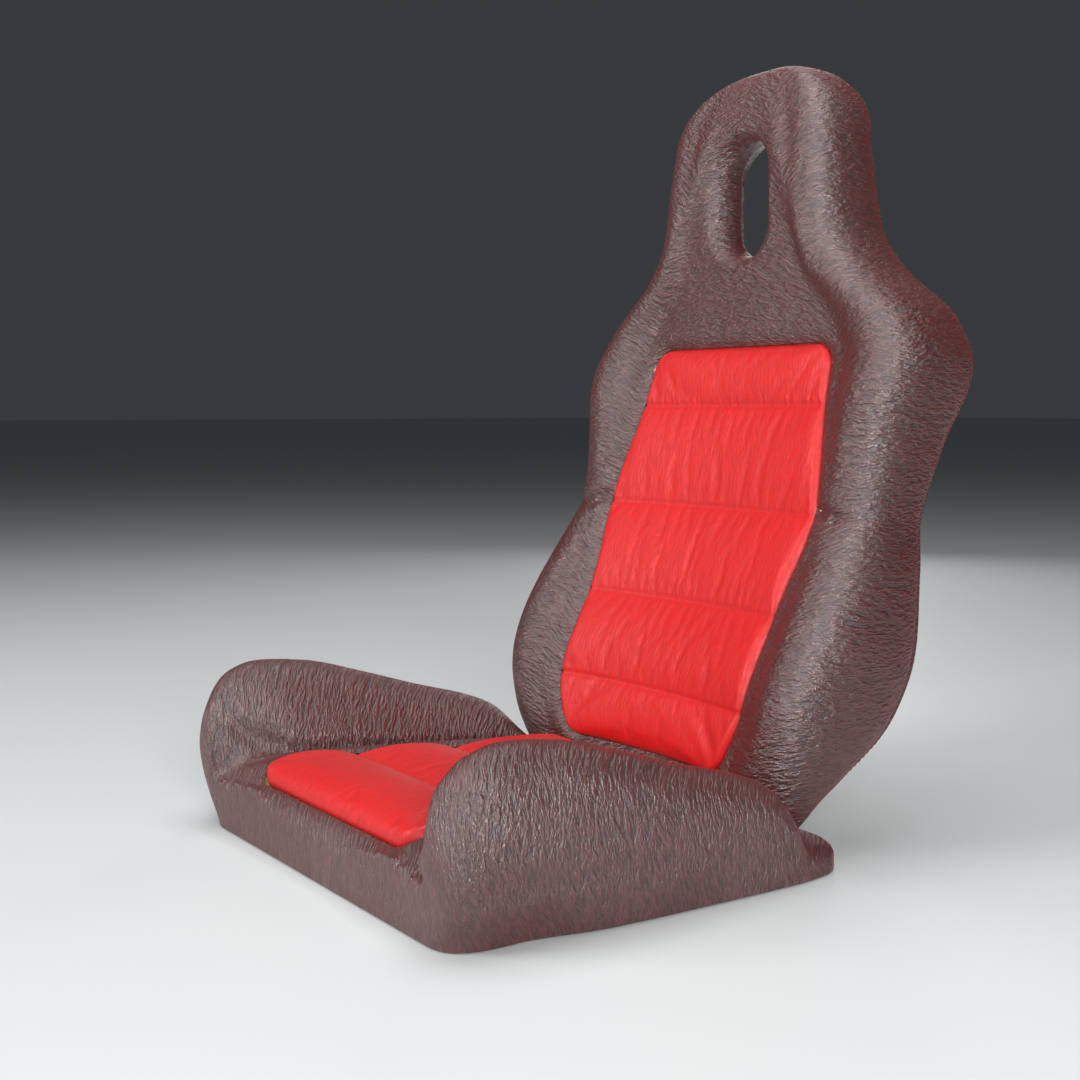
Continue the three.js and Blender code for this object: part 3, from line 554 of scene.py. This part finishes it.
def creased_leather(name, valley, hide, rubbed, sheen, crease_depth, gloss, reflection):
    """Drum-dyed cowhide: folds of three long noises that cross at a slant, fine pores, a sheen; the
    folds' valleys are darkened in colour as painted shade.
    """
    material, tree, where = new_material(name)
    laid = add_node(tree, "ShaderNodeAttribute", {"attribute_name": "creases"}).outputs["Vector"]
    stray = add_node(tree, "ShaderNodeTexNoise", Vector=where, Scale=14.0, Detail=2.0)
    wander = add_node(tree, "ShaderNodeVectorMath", {"operation": "MULTIPLY_ADD"},
                      i0=stray.outputs["Color"], i1=(1.2, 1.2, 5.0), i2=laid)
    split = add_node(tree, "ShaderNodeSeparateXYZ", Vector=wander.outputs[0])
    folds = []
    for lean, scale, weight in ((0.0, 0.8, 1.0), (0.3, 1.25, 0.55), (-0.3, 1.25, 0.55)):
        slope = add_node(tree, "ShaderNodeMath", {"operation": "MULTIPLY_ADD"}, i0=split.outputs["X"],
                         i1=lean * CREASE_LENGTH / CREASE_GAP, i2=split.outputs["Z"])
        skew = add_node(tree, "ShaderNodeCombineXYZ", X=split.outputs["X"], Y=split.outputs["Y"],
                        Z=slope.outputs[0])
        fold = add_node(tree, "ShaderNodeTexNoise", Vector=skew.outputs[0], Scale=scale, Detail=2.0,
                        Roughness=0.5, Distortion=0.15)
        swell = add_node(tree, "ShaderNodeMapRange", {"interpolation_type": "SMOOTHSTEP"},
                         Value=fold.outputs["Fac"], i1=0.36, i2=0.6, i3=0.0, i4=weight / 2.1)
        folds.append(swell.outputs[0])
    two = add_node(tree, "ShaderNodeMath", {"operation": "ADD"}, i0=folds[0], i1=folds[1])
    grain = add_node(tree, "ShaderNodeMath", {"operation": "ADD"}, i0=two.outputs[0], i1=folds[2])
    pores = add_node(tree, "ShaderNodeTexVoronoi", {"feature": "SMOOTH_F1"}, Vector=where,
                     Scale=900.0, Smoothness=0.3)
    height = add_node(tree, "ShaderNodeMath", {"operation": "MULTIPLY_ADD"},
                      i0=pores.outputs["Distance"], i1=0.18, i2=grain.outputs[0])
    cloud = add_node(tree, "ShaderNodeTexNoise", Vector=where, Scale=6.0, Detail=3.0)
    worn = add_node(tree, "ShaderNodeMapRange", Value=cloud.outputs["Fac"], i1=0.42, i2=0.68)
    dyed = mixed(tree, worn.outputs[0], hide, rubbed)
    # painted shade: where the folds run low, the colour goes over to the dark valley colour
    tone = mixed(tree, grain.outputs[0], valley, dyed)
    shine = add_node(tree, "ShaderNodeMapRange", Value=grain.outputs[0], i3=gloss + 0.2, i4=gloss)
    bump = add_node(tree, "ShaderNodeBump", Strength=1.0, Distance=crease_depth * MM,
                    Height=height.outputs[0])
    return surfaced(material, Base_Color=tone, Roughness=shine.outputs[0],
                    Normal=bump.outputs[0], IOR=1.6, Specular_IOR_Level=reflection,
                    Sheen_Weight=sheen[0], Sheen_Roughness=sheen[1], Sheen_Tint=linear(sheen[2]))


# the first colour, for the folds' valleys, is painted shade
oxblood = creased_leather("oxblood_creased_leather", "#260d0c", "#4e1c1a", "#583230",
                          (0.22, 0.45, "#b8332d"), 1.75, 0.34, 1.0)


def panel_edge(z):
    """Half width of the red back insert's window at a height; below zero above and below it."""
    from_end = np.minimum(z - PANEL_BOTTOM, PANEL_TOP - z)
    corner = np.clip(PANEL_CORNER - from_end, 0, PANEL_CORNER)
    pulled_in = PANEL_CORNER - np.sqrt(np.maximum(PANEL_CORNER ** 2 - corner ** 2, 0))
    return np.where(from_end < 0, from_end * 3, station(PANEL_HALF, z) - pulled_in)


def past_window(x, along, half, low, high, corner):
    """Roughly how far a point lies outside a round-cornered window, in mm."""
    dx = np.abs(x) - (half - corner)
    dy = np.abs(along - np.clip(along, low, high))
    return np.hypot(np.maximum(dx, 0), dy) + np.minimum(dx, 0) * (dy == 0) - corner


def outside_window(x, z):
    """Roughly how far a point lies outside the back insert's window, in mm."""
    return past_window(x, z, station(PANEL_HALF, np.clip(z, PANEL_BOTTOM, PANEL_TOP)),
                       PANEL_BOTTOM + PANEL_CORNER, PANEL_TOP - PANEL_CORNER, PANEL_CORNER)


def seam_depth(z):
    """The side seam lies two thirds of the way from the frame's plane to the rear face."""
    middle = station(MIDDLE_Y, z)
    return middle + SEAM_PLACE * (station(REAR_Y, z) - middle)


heights = np.concatenate([np.linspace(-8, DOME_START, 190), DOME_START
                          + (BACK_TOP - DOME_START) * np.sin(np.linspace(0, np.pi / 2, 26))[1:-1],
                          [BACK_TOP - 0.15]])
back_body = lofted("back_body", [back_ring(z) for z in heights])

hole_rings = []
for y in np.linspace(HOLE_FRONT, HOLE_REAR, 54):
    half_width = HOLE_HALF + float(station(HOLE_ACROSS, y))
    rise = HOLE_HALF + float(station(HOLE_UP, y))
    low, high = HOLE_BOTTOM + HOLE_HALF, HOLE_TOP - HOLE_HALF
    a = np.linspace(0, np.pi, 40)
    upper = np.column_stack([half_width * np.cos(a), high + rise * np.sin(a)])
    oval = np.vstack([upper, np.column_stack([-upper[:, 0], low + high - upper[:, 1]])])
    hole_rings.append(np.column_stack([oval[:, 0], np.full(len(oval), y), oval[:, 1]]))
hole_cutter = lofted("hole_cutter", hole_rings)
cut = back_body.modifiers.new("hole", "BOOLEAN")
cut.operation, cut.object, cut.solver = "DIFFERENCE", hole_cutter, "EXACT"
baked(back_body)
bpy.data.objects.remove(hole_cutter)

skin, faces = remeshed(back_body, VOXEL)
skin = eased(skin, faces, EASING_TURNS)
x, y, z = skin.T
hole_gap = np.hypot(x, z - np.clip(z, HOLE_BOTTOM + HOLE_HALF, HOLE_TOP - HOLE_HALF)) - HOLE_HALF
by_hole = smooth(1.6 - hole_gap / HOLE_EASING) * smooth((HOLE_EASING_REAR - y) / 20)
skin = eased(skin, faces, EASING_TURNS, weight=by_hole)

normal = facing(skin, faces)
x, y, z = skin.T
aside = np.abs(x)
front_side = smooth((-normal[:, 1] + 0.1) / 0.5)
beside = outside_window(x, z)
roll = -rolled(beside, *ROLL) * front_side
welt = WELT_HEIGHT * hump(beside - WELT_PLACE, WELT_WIDTH) * front_side
ridge = (RIDGE_HEIGHT * hump(aside - station(HEAD_RIDGE, z), RIDGE_WIDTH)
         * smooth((z - RIDGE_LOW) / 70) * smooth((RIDGE_HIGH - z) / 60) * front_side)
waist = (-WAIST_DEPTH * hump(z - WAIST_LEVEL + WAIST_SLOPE * (aside - WAIST_INNER), WAIST_WIDTH)
         * smooth((WAIST_OUTER - aside) / (WAIST_OUTER - WAIST_INNER))
         * smooth((beside + 4) / 8) * front_side)
seam_groove = (-SEAM_DEPTH * hump(y - seam_depth(z), SEAM_WIDTH)
               * smooth((hole_gap - SEAM_OFF_HOLE) / 20))
heel = HEEL_HEIGHT * hump(z - HEEL_LEVEL, HEEL_WIDTH) * smooth(normal[:, 1] / 0.3)
relief = np.maximum(roll + welt + ridge + waist + seam_groove, -DEEPEST) + heel
skin = skin + normal * relief[:, None]

above = trimmed(skin, faces, skin[:, 2] - (BACK_BOTTOM + 1.0))
before_seam = seam_depth(above[0][:, 2]) - above[0][:, 1]
front_skin = trimmed(*above, before_seam - SEAM_GAP)
rear_skin = trimmed(*above, -before_seam - SEAM_GAP)
on_front = facing(*front_skin)[:, 1] < 0.2
beside = outside_window(front_skin[0][:, 0], front_skin[0][:, 2])
front_skin = trimmed(*front_skin, np.where(on_front, beside, FAR_OFF) + UNDER_INSERT)


def fitted(cover, slot, fill, *replaced):
    """Hangs a cover on the root body in place of CAD nodes, which are hidden."""
    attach(cover, "root")
    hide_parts(*replaced)


for name, form, replaced in (
        ("back_cover_front", front_skin, ("back_front_cover", "harness_hole_liner")),
        ("back_cover_rear", rear_skin, ("back_rear_cover",))):
    fitted(leather_piece(name, *form, back_creases, LEATHER, oxblood), "dark_leather", 0.9, *replaced)

# ------------------------------------------------------- stitches of the rear seam
# The two covers of the back are sewn together round its rear edge and topstitched beside
# the seam with thick waxed polyester thread, one stitch every 6.5 mm.


def waxed_thread():
    """Twisted polyester thread: dull dark red, with the twist showing as fine slanting bands."""
    material, tree, where = new_material("waxed_polyester_thread")
    twist = add_node(tree, "ShaderNodeTexWave", {"bands_direction": "DIAGONAL"}, Vector=where,
                     Scale=420.0, Distortion=1.0)
    tone = mixed(tree, twist.outputs["Fac"], "#2a0d0c", "#4f1c1a")
    bump = add_node(tree, "ShaderNodeBump", Strength=0.5, Distance=0.0002, Height=twist.outputs["Fac"])
    return surfaced(material, Base_Color=tone, Roughness=0.5, Normal=bump.outputs[0])


def stitch_row_tree(material):
    """Geometry Nodes: thread stitches laid end to end along a line."""
    tree = bpy.data.node_groups.new("stitch_row", "GeometryNodeTree")
    face = tree.interface
    face.new_socket("Geometry", in_out="INPUT", socket_type="NodeSocketGeometry")
    for name in ("Pitch", "Stitch length", "Thread thickness"):
        face.new_socket(name, in_out="INPUT", socket_type="NodeSocketFloat")
    face.new_socket("Geometry", in_out="OUTPUT", socket_type="NodeSocketGeometry")
    given = tree.nodes.new("NodeGroupInput").outputs
    line = add_node(tree, "GeometryNodeMeshToCurve", Mesh=given["Geometry"])
    marks = add_node(tree, "GeometryNodeResampleCurve", {"mode": "LENGTH"}, Curve=line.outputs[0],
                     Length=given["Pitch"])
    along = add_node(tree, "GeometryNodeInputTangent")
    turn = add_node(tree, "FunctionNodeAlignRotationToVector", {"axis": "Z"}, Vector=along.outputs[0])
    bead = add_node(tree, "GeometryNodeMeshUVSphere", Segments=8, Rings=5, Radius=0.5)
    size = add_node(tree, "ShaderNodeCombineXYZ", X=given["Thread thickness"],
                    Y=given["Thread thickness"], Z=given["Stitch length"])
    laid = add_node(tree, "GeometryNodeInstanceOnPoints", Points=marks.outputs[0],
                    Instance=bead.outputs[0], Rotation=turn.outputs[0], Scale=size.outputs[0])
    real = add_node(tree, "GeometryNodeRealizeInstances", Geometry=laid.outputs[0])
    done = add_node(tree, "GeometryNodeSetMaterial", Geometry=real.outputs[0], Material=material)
    tree.links.new(done.outputs[0], tree.nodes.new("NodeGroupOutput").inputs[0])
    return tree


STITCH_OFF = 5.0                     # how far behind the seam the stitches lie
HOLE_MIDDLE, HOLE_REACH = (HOLE_BOTTOM + HOLE_TOP) / 2, 130
BACK_MIDDLE = 430                    # the row is sorted by its angle round this height
NEAR_TWIN = 0.8                      # a point this near to the last one is dropped
row = trimmed(*above, -before_seam - STITCH_OFF)[0]
row = row[np.abs(row[:, 1] - seam_depth(row[:, 2]) - STITCH_OFF) < 0.05]
row = row[np.hypot(row[:, 0], row[:, 2] - HOLE_MIDDLE) > HOLE_REACH]
row = row[np.argsort(np.arctan2(row[:, 0], BACK_MIDDLE - row[:, 2]))]
row = row[np.concatenate([[True], np.linalg.norm(np.diff(row, axis=0), axis=1) > NEAR_TWIN])]
row = to_metres(row)
line = bpy.data.meshes.new("rear_seam_stitches")
line.from_pydata([tuple(p) for p in row], [(i, i + 1) for i in range(len(row) - 1)], [])
stitches = bpy.data.objects.new("rear_seam_stitches", line)
scene.collection.objects.link(stitches)
sewing = stitches.modifiers.new("sewing", "NODES")
sewing.node_group = stitch_row_tree(waxed_thread())
sizes = {"Pitch": 6.5 * MM, "Stitch length": 5.2 * MM, "Thread thickness": 1.5 * MM}
for socket in sewing.node_group.interface.items_tree:
    if socket.in_out == "INPUT" and socket.name in sizes:
        sewing[socket.identifier] = sizes[socket.name]
baked(stitches)
stitches.data.shade_smooth()
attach(stitches, "root")

# ---------------------------------------------------------- leather of the base
# Thigh bolster covers, the surround of the seat insert and the low skirt behind the
# back's foot: the same oxblood hide on scrim foam, sewn in the valleys and ending
# just above the ground.

BOLSTER_TOP = [(-217, 96), (-213, 126), (-200, 154), (-180, 174), (-148, 183), (-100, 178), (-30, 159),
               (50, 134), (120, 114), (158, 97), (180, 70), (194, 36), (206, 30), (245, 30), (262, 14)]
PAN_TOP = [(-217, 42), (-211, 60), (-202, 72), (-188, 81), (-150, 87), (0, 78), (120, 70), (212, 62),
           (224, 30), (245, 30), (262, 14)]
BASE_HALF = [(-217, 258), (-214, 270), (-206, 281), (-190, 291), (-160, 296), (-60, 296), (60, 292),
             (180, 287), (222, 281), (245, 268), (262, 240)]
FLOOR_TUCK = [(-217, 26), (-143, 30), (-66, 16), (60, 6), (180, 0)]
BOLSTER_INNER = [(-217, 240), (-200, 222), (-172, 206), (-130, 193), (262, 190)]
SEAT_HALF, SEAT_FRONT, SEAT_REAR, SEAT_CORNER = 172, -204, 202, 34
BASE_SEAM = [(-240, 240), (-222, 236), (-196, 220), (-168, 205), (-130, 192), (300, 190)]
NOSE_BULGE = 14
GROUND_GAP = 1.0
SKIRT_FROM, SKIRT_TOP = 203, 40
VALLEY_DEPTH, VALLEY_WIDTH = 7.0, 4.5
PIPING_HEIGHT, PIPING_OFF, PIPING_WIDTH = 3.6, 10.5, 6
WINDOW_LOW = 36                      # below this height no point belongs to the seat's window
FOOT_GAP = 2.5                       # how far the base's covers reach into the back's foot
BASE_SEAM_GAP = 0.12
LIP_MIDDLE = 30                      # height that the front face's rings close on
LIP_EDGE_FROM, LIP_EDGE_TOP = 196, 90   # where the lip's edge is eased most


def base_ring(y):
    """One closed upright slice of the base, in mm, from the top centre round by the right."""
    half, top, pan, inner, tuck = (float(station(table, y)) for table in
                                   (BASE_HALF, BOLSTER_TOP, PAN_TOP, BOLSTER_INNER, FLOOR_TUCK))
    crest = max(half - 36, inner + 0.35 * (half - inner))
    valley = pan - 6 * float(smooth((pan - 40) / 20))
    side = 0.45 * top
    x = np.linspace(0, SEAT_HALF, 34, endpoint=False)
    flat = np.column_stack([x, np.full(34, pan)])
    u = np.linspace(0, 1, 8, endpoint=False)
    strip = np.column_stack([SEAT_HALF + (inner - SEAT_HALF) * u, pan + (valley - pan) * smooth(u)])
    u = np.linspace(0, 1, 22, endpoint=False)
    rise = np.column_stack([inner + (crest - inner) * u,
                            valley + (top - valley) * np.sin(np.pi / 2 * u) ** 0.9])
    a = np.linspace(0, np.pi / 2, 22, endpoint=False)
    turn = np.column_stack([crest + (half - crest) * np.sin(a), side + (top - side) * np.cos(a) ** 0.75])
    u = np.linspace(0, 1, 20)
    down = np.column_stack([half - tuck * np.maximum(0.5 * u, 1.5 * u - 0.5), side * (1 - u)])
    x = (half - tuck) * (1 - np.linspace(0, 1, 40))
    under = np.column_stack([x, np.full(40, -14.0)])
    right = np.vstack([flat, strip, rise, turn, down, under])
    ring = np.vstack([right, right[-2:0:-1] * (-1, 1)])
    return np.column_stack([ring[:, 0], np.full(len(ring), float(y)), ring[:, 1]])


def with_nose(points):
    """The bolsters' noses swell forward above the ground."""
    x, y, z = points.T
    swell = smooth((np.abs(x) - 150) / 80) * smooth(z / 100) * smooth((-60 - y) / 140)
    return np.column_stack([x, y - NOSE_BULGE * swell, z])


def base_creases(points):
    """Creases run up and down the sides of the base, drawn towards the hem."""
    x, y, z = points.T
    return np.column_stack([z / CREASE_LENGTH, (x + y) * 0.02 / CREASE_GAP,
                            (y + x + 0.12 * z) / CREASE_GAP])


depths = np.concatenate([[-217, -216, -214.5, -212.5, -210, -207, -203.5], np.linspace(-200, 150, 88),
                         np.linspace(153, 215, 32), np.linspace(218, 262, 14)])
front_ring = base_ring(depths[0])
lip = (0, 0, LIP_MIDDLE)
front_face = [(front_ring - lip) * (part, 1, part) + lip for part in np.linspace(0.02, 0.97, 24)]
base_rings = front_face + [base_ring(y) for y in depths]
skin, faces = remeshed(lofted("base_body", [with_nose(ring) for ring in base_rings]), VOXEL)
skin = eased(skin, faces, EASING_TURNS)
x, y, z = skin.T
front_edge = smooth((-y - LIP_EDGE_FROM) / 12) * smooth((LIP_EDGE_TOP - z) / 20)
skin = eased(skin, faces, 5, keep_size=False, weight=0.3 + 0.7 * front_edge)

normal = facing(skin, faces)
x, y, z = skin.T
on_top = smooth((normal[:, 2] - 0.1) / 0.4)


def beyond_insert(x, y):
    """Roughly how far a point lies outside the seat insert's window, in mm."""
    return past_window(x, y, SEAT_HALF, SEAT_FRONT + SEAT_CORNER, SEAT_REAR, SEAT_CORNER)


roll = -rolled(beyond_insert(x, y), *ROLL) * on_top
valley_off = np.abs(x) - station(BASE_SEAM, y)
in_valley = smooth((z - 26) / 24) * smooth((214 - y) / 10) * smooth((y + 213) / 16)
valley = -VALLEY_DEPTH * hump(valley_off, VALLEY_WIDTH) * in_valley
piped = PIPING_HEIGHT * hump(valley_off + PIPING_OFF, PIPING_WIDTH) * in_valley * smooth((y + 214) / 24)
skin = skin + normal * (roll * smooth((205 - y) / 6) + valley + piped)[:, None]

upright = trimmed(skin, faces, skin[:, 2] - GROUND_GAP)


def clear_of_back(points):
    """How far a point lies outside the back's foot, in mm."""
    x, y, z = points.T
    _, half, front, rear, panel, edge, crest, crest_x = back_levels(z)
    up_wing = np.clip((np.abs(x) - panel) / (crest_x - panel), 0, 1)
    depth = np.where(np.abs(x) < panel, front + (edge - front) * (x / panel) ** 2,
                     edge + (crest - edge) * (1 - np.cos(np.pi * up_wing)) / 2)
    return np.maximum.reduce([depth - y, y - rear, np.abs(x) - half]) + FOOT_GAP


upright = trimmed(*upright, clear_of_back(upright[0]))
split = np.abs(upright[0][:, 0]) - station(BASE_SEAM, upright[0][:, 1])
centre = trimmed(*upright, -split - BASE_SEAM_GAP)
surround = trimmed(*centre, SKIRT_FROM - centre[0][:, 1] - BASE_SEAM_GAP)
beside = beyond_insert(surround[0][:, 0], surround[0][:, 1])
surround = trimmed(*surround, np.where(surround[0][:, 2] > WINDOW_LOW, beside, FAR_OFF) + UNDER_INSERT)
skirt = trimmed(*centre, centre[0][:, 1] - SKIRT_FROM - BASE_SEAM_GAP)
skirt = trimmed(*skirt, SKIRT_TOP - skirt[0][:, 2])
bolsters = trimmed(*upright, split - BASE_SEAM_GAP)
right = trimmed(*bolsters, bolsters[0][:, 0])
left = trimmed(*bolsters, -bolsters[0][:, 0])
for name, form, fill, node in (("thigh_bolster_right", right, 0.9, "thigh_bolster_cover_right"),
                               ("thigh_bolster_left", left, 0.9, "thigh_bolster_cover_left"),
                               ("seat_surround", surround, 0.85, "seat_surround_cover"),
                               ("rear_skirt", skirt, 0.85, "rear_skirt_cover")):
    fitted(leather_piece(name, *form, base_creases, LEATHER, oxblood), "dark_leather", fill, node)

# ------------------------------------------------------------ red back insert
# One sewn panel of red hide over quilting foam, held down by listing rods in four
# channels, so that five soft pads stand between them.

RED_STEP = 4.4                       # size of a pad's quads
PAD_THICK = 12.5
PAD_GAP = 0.8                        # between a pad's rim and its window
CLOTH_STEPS = 20


def quilt_height(along, rows, channels, crown, dip):
    """Height over the form: crown in the middle of a bay, dip in a channel, crown at both ends."""
    ends = np.concatenate([[rows[0]], channels, [rows[-1]]])
    last = len(ends) - 2
    bay = np.clip(np.searchsorted(ends, along, side="right") - 1, 0, last)
    t = (along - ends[bay]) / (ends[bay + 1] - ends[bay])
    at_rim = ((t < 0.5) & (bay == 0)) | ((t >= 0.5) & (bay == last))
    swell = np.where(at_rim, 1.0, np.sin(np.pi * np.clip(t, 0, 1)) ** 0.55)
    return dip + (crown - dip) * swell


def closed_pad(name, top, base):
    """A closed skin over two grids of points, in mm, with a wall round their border."""
    rows, columns = top.shape[:2]
    number = np.arange(rows * columns).reshape(rows, columns)
    quads = np.stack([number[:-1, :-1], number[:-1, 1:], number[1:, 1:], number[1:, :-1]], -1)
    quads = quads.reshape(-1, 4)
    loop = np.concatenate([number[0, :], number[1:, -1], number[-1, -2::-1], number[-2:0:-1, 0]])
    after = np.roll(loop, -1)
    wall = np.column_stack([loop, loop + number.size, after + number.size, after])
    points = to_metres(np.vstack([top.reshape(-1, 3), base.reshape(-1, 3)]))
    return mesh_object(name, points, np.vstack([quads, quads[:, ::-1] + number.size, wall]))


def swollen(pad, held, cap):
    """Blows the pad up from inside with its sewn points held, within a cap in mm."""
    start = read_points(pad.data)
    group = pad.vertex_groups.new(name="held")
    for index in np.flatnonzero(held):
        group.add([int(index)], float(held[index]), "REPLACE")
    cloth = pad.modifiers.new("cloth", "CLOTH")
    settings = cloth.settings
    settings.vertex_group_mass = "held"
    settings.quality = 5
    settings.use_pressure = True
    settings.uniform_pressure_force = 4
    settings.effector_weights.gravity = 0
    settings.shrink_min = -0.006
    cloth.collision_settings.use_collision = False
    cloth.point_cache.frame_start = 1
    cloth.point_cache.frame_end = CLOTH_STEPS
    for step in range(1, CLOTH_STEPS + 1):
        scene.frame_set(step)
    shown = pad.evaluated_get(bpy.context.evaluated_depsgraph_get())
    moved = read_points(shown.data) - start
    length = np.linalg.norm(moved, axis=1)
    limit = cap * MM
    scale = np.where(length > 0, limit * np.tanh(length / limit) / np.maximum(length, 1e-12), 0)
    pad.modifiers.clear()
    pad.vertex_groups.clear()
    scene.frame_set(1)
    pad.data.vertices.foreach_set("co", (start + moved * scale[:, None]).ravel())
    pad.data.update()


def puckered(pad, axis, up, channels, stitch, height, seed):
    """Draws the pad's top in along its channels, with gathers beside the last of them."""
    mesh = pad.data
    where = read_points(mesh)
    facing_out = read_points(mesh, "normal")
    along = (where[:, axis] - (depth_shift if axis == 1 else 0)) / MM
    aside = where[:, 0] / MM
    draw = np.random.default_rng(seed)
    detail = np.zeros(len(where))
    for channel in channels:
        off = along - channel
        gathers = sum(np.sin(2 * np.pi * aside / wave + draw.uniform(0, 6.28)) * draw.uniform(0.5, 1)
                      for wave in (7.3, 9.1, 11.7, 16.0, 23.0)) / 2.4
        detail += -stitch * hump(off, 2.6)
        pulled = 1.0 if channel == channels[-1] else 0.2
        detail += height * pulled * gathers * hump(off - 6, 5)
    where += facing_out * (detail * (facing_out @ up > 0.25))[:, None] * MM
    mesh.vertices.foreach_set("co", where.ravel())
    mesh.update()
    return where / MM


def quilted_pad(name, surface, rows, half_width, channels, crown, dip, rim, cap, creases, puckers):
    """A closed pad on a form: swollen between its channels by a pressure run, then sewn down.

    surface gives the form's point, in mm, at an across and an along place. rim is how far and
    how wide the border rolls down at the sides and at both ends, each as (depth, width)."""
    columns = int(2 * half_width(rows).max() / RED_STEP)
    u, v = np.meshgrid(np.linspace(-1, 1, columns + 1), rows)
    x = u * half_width(v)
    inside = (half_width(v) - np.abs(x), v - rows[0], rows[-1] - v)
    sides = (rim["side"], rim["low"], rim["high"])
    drop = np.maximum.reduce([rolled(gap, *side) for gap, side in zip(inside, sides)])
    near_rim = np.minimum.reduce([gap / side[1] for gap, side in zip(inside, sides)])
    form = surface(x, v)
    out = np.cross(np.gradient(form, axis=1), np.gradient(form, axis=0))
    out /= np.maximum(np.linalg.norm(out, axis=2), 1e-9)[:, :, None]
    lift = quilt_height(v, rows, channels, crown, dip) * smooth(near_rim) - drop
    pad = closed_pad(name, form + out * lift[:, :, None], form - out * PAD_THICK)
    held = np.min([np.abs(v - c) for c in channels], axis=0) < RED_STEP * 0.55
    held[[0, -1], :] = True
    held[:, [0, -1]] = True
    swollen(pad, np.concatenate([np.where(held, 1.0, 0.0).ravel(), np.ones(held.size)]), cap)
    soften = pad.modifiers.new("soften", "SUBSURF")
    soften.levels = soften.render_levels = 1
    baked(pad)
    pattern = creases(puckered(pad, channels=channels, **puckers)).astype(np.float32)
    attribute = pad.data.attributes.new("creases", "FLOAT_VECTOR", "POINT")
    attribute.data.foreach_set("vector", pattern.ravel())
    pad.data.shade_smooth()
    pad.data.materials.append(red_hide)
    return pad


def back_surface(x, z):
    """Point of the back's front face, in mm."""
    front, panel = station(FRONT_Y, z), station(PANEL_HALF, z)
    edge = front - station(BACK_DISH, z)
    return np.stack([x, front + (edge - front) * (x / panel) ** 2, z], -1)


RED_CREASE_GAP, RED_CREASE_LENGTH = 2.6, 10.0


def red_creases(points):
    """Fine creases, longer along the back's height."""
    x, y, z = points.T
    return np.column_stack([z / RED_CREASE_LENGTH, y / RED_CREASE_LENGTH, x / RED_CREASE_GAP])


# the first colour, for the folds' valleys, is painted shade
red_hide = creased_leather("red_fine_leather", "#ba070a", "#d20c0f", "#d81315",
                           (0.04, 0.4, "#ff8d86"), 0.24, 0.46, 0.5)
back_pad = quilted_pad(
    "back_insert", back_surface, np.linspace(PANEL_BOTTOM + PAD_GAP, PANEL_TOP - PAD_GAP, 108),
    lambda z: panel_edge(z) - PAD_GAP, np.array([148, 249, 357, 477]), crown=1.5, dip=-3.0,
    rim={"side": (7.5, 8), "low": (7, 8), "high": (7.5, 8)}, cap=4, creases=red_creases,
    puckers={"axis": 2, "up": np.array([0, -1, 0.1]), "stitch": 1.6, "height": 0.55, "seed": 4})
fitted(back_pad, "red_leather", 0.7, "back_insert_cover")

# ------------------------------------------------------------ red seat insert
# The same red hide over thicker quilting: three rounded rolls across the seat, drawn
# down by two listing rods hooked to the webbing.


def seat_surface(x, y):
    """Point of the pan's top, in mm."""
    return np.stack([x, y, station(PAN_TOP, y)], -1)


def seat_edge(y):
    """Half width of the seat insert's window at a depth; round front corners, square rear."""
    corner = np.clip(SEAT_CORNER - (y - SEAT_FRONT), 0, SEAT_CORNER)
    return SEAT_HALF - SEAT_CORNER + np.sqrt(np.maximum(SEAT_CORNER ** 2 - corner ** 2, 0))


seat_pad = quilted_pad(
    "seat_insert", seat_surface, np.linspace(SEAT_FRONT + PAD_GAP, SEAT_REAR, 94),
    lambda y: seat_edge(y) - PAD_GAP, np.array([-78, 52]), crown=5.0, dip=-8.0,
    rim={"side": (7.5, 10), "low": (7, 12), "high": (3, 8)}, cap=8,
    creases=lambda points: red_creases(points[:, [0, 2, 1]]),
    puckers={"axis": 1, "up": np.array([0, 0, 1.0]), "stitch": 1.2, "height": 0.4, "seed": 9})
fitted(seat_pad, "red_leather", 0.8, "seat_insert_cover")
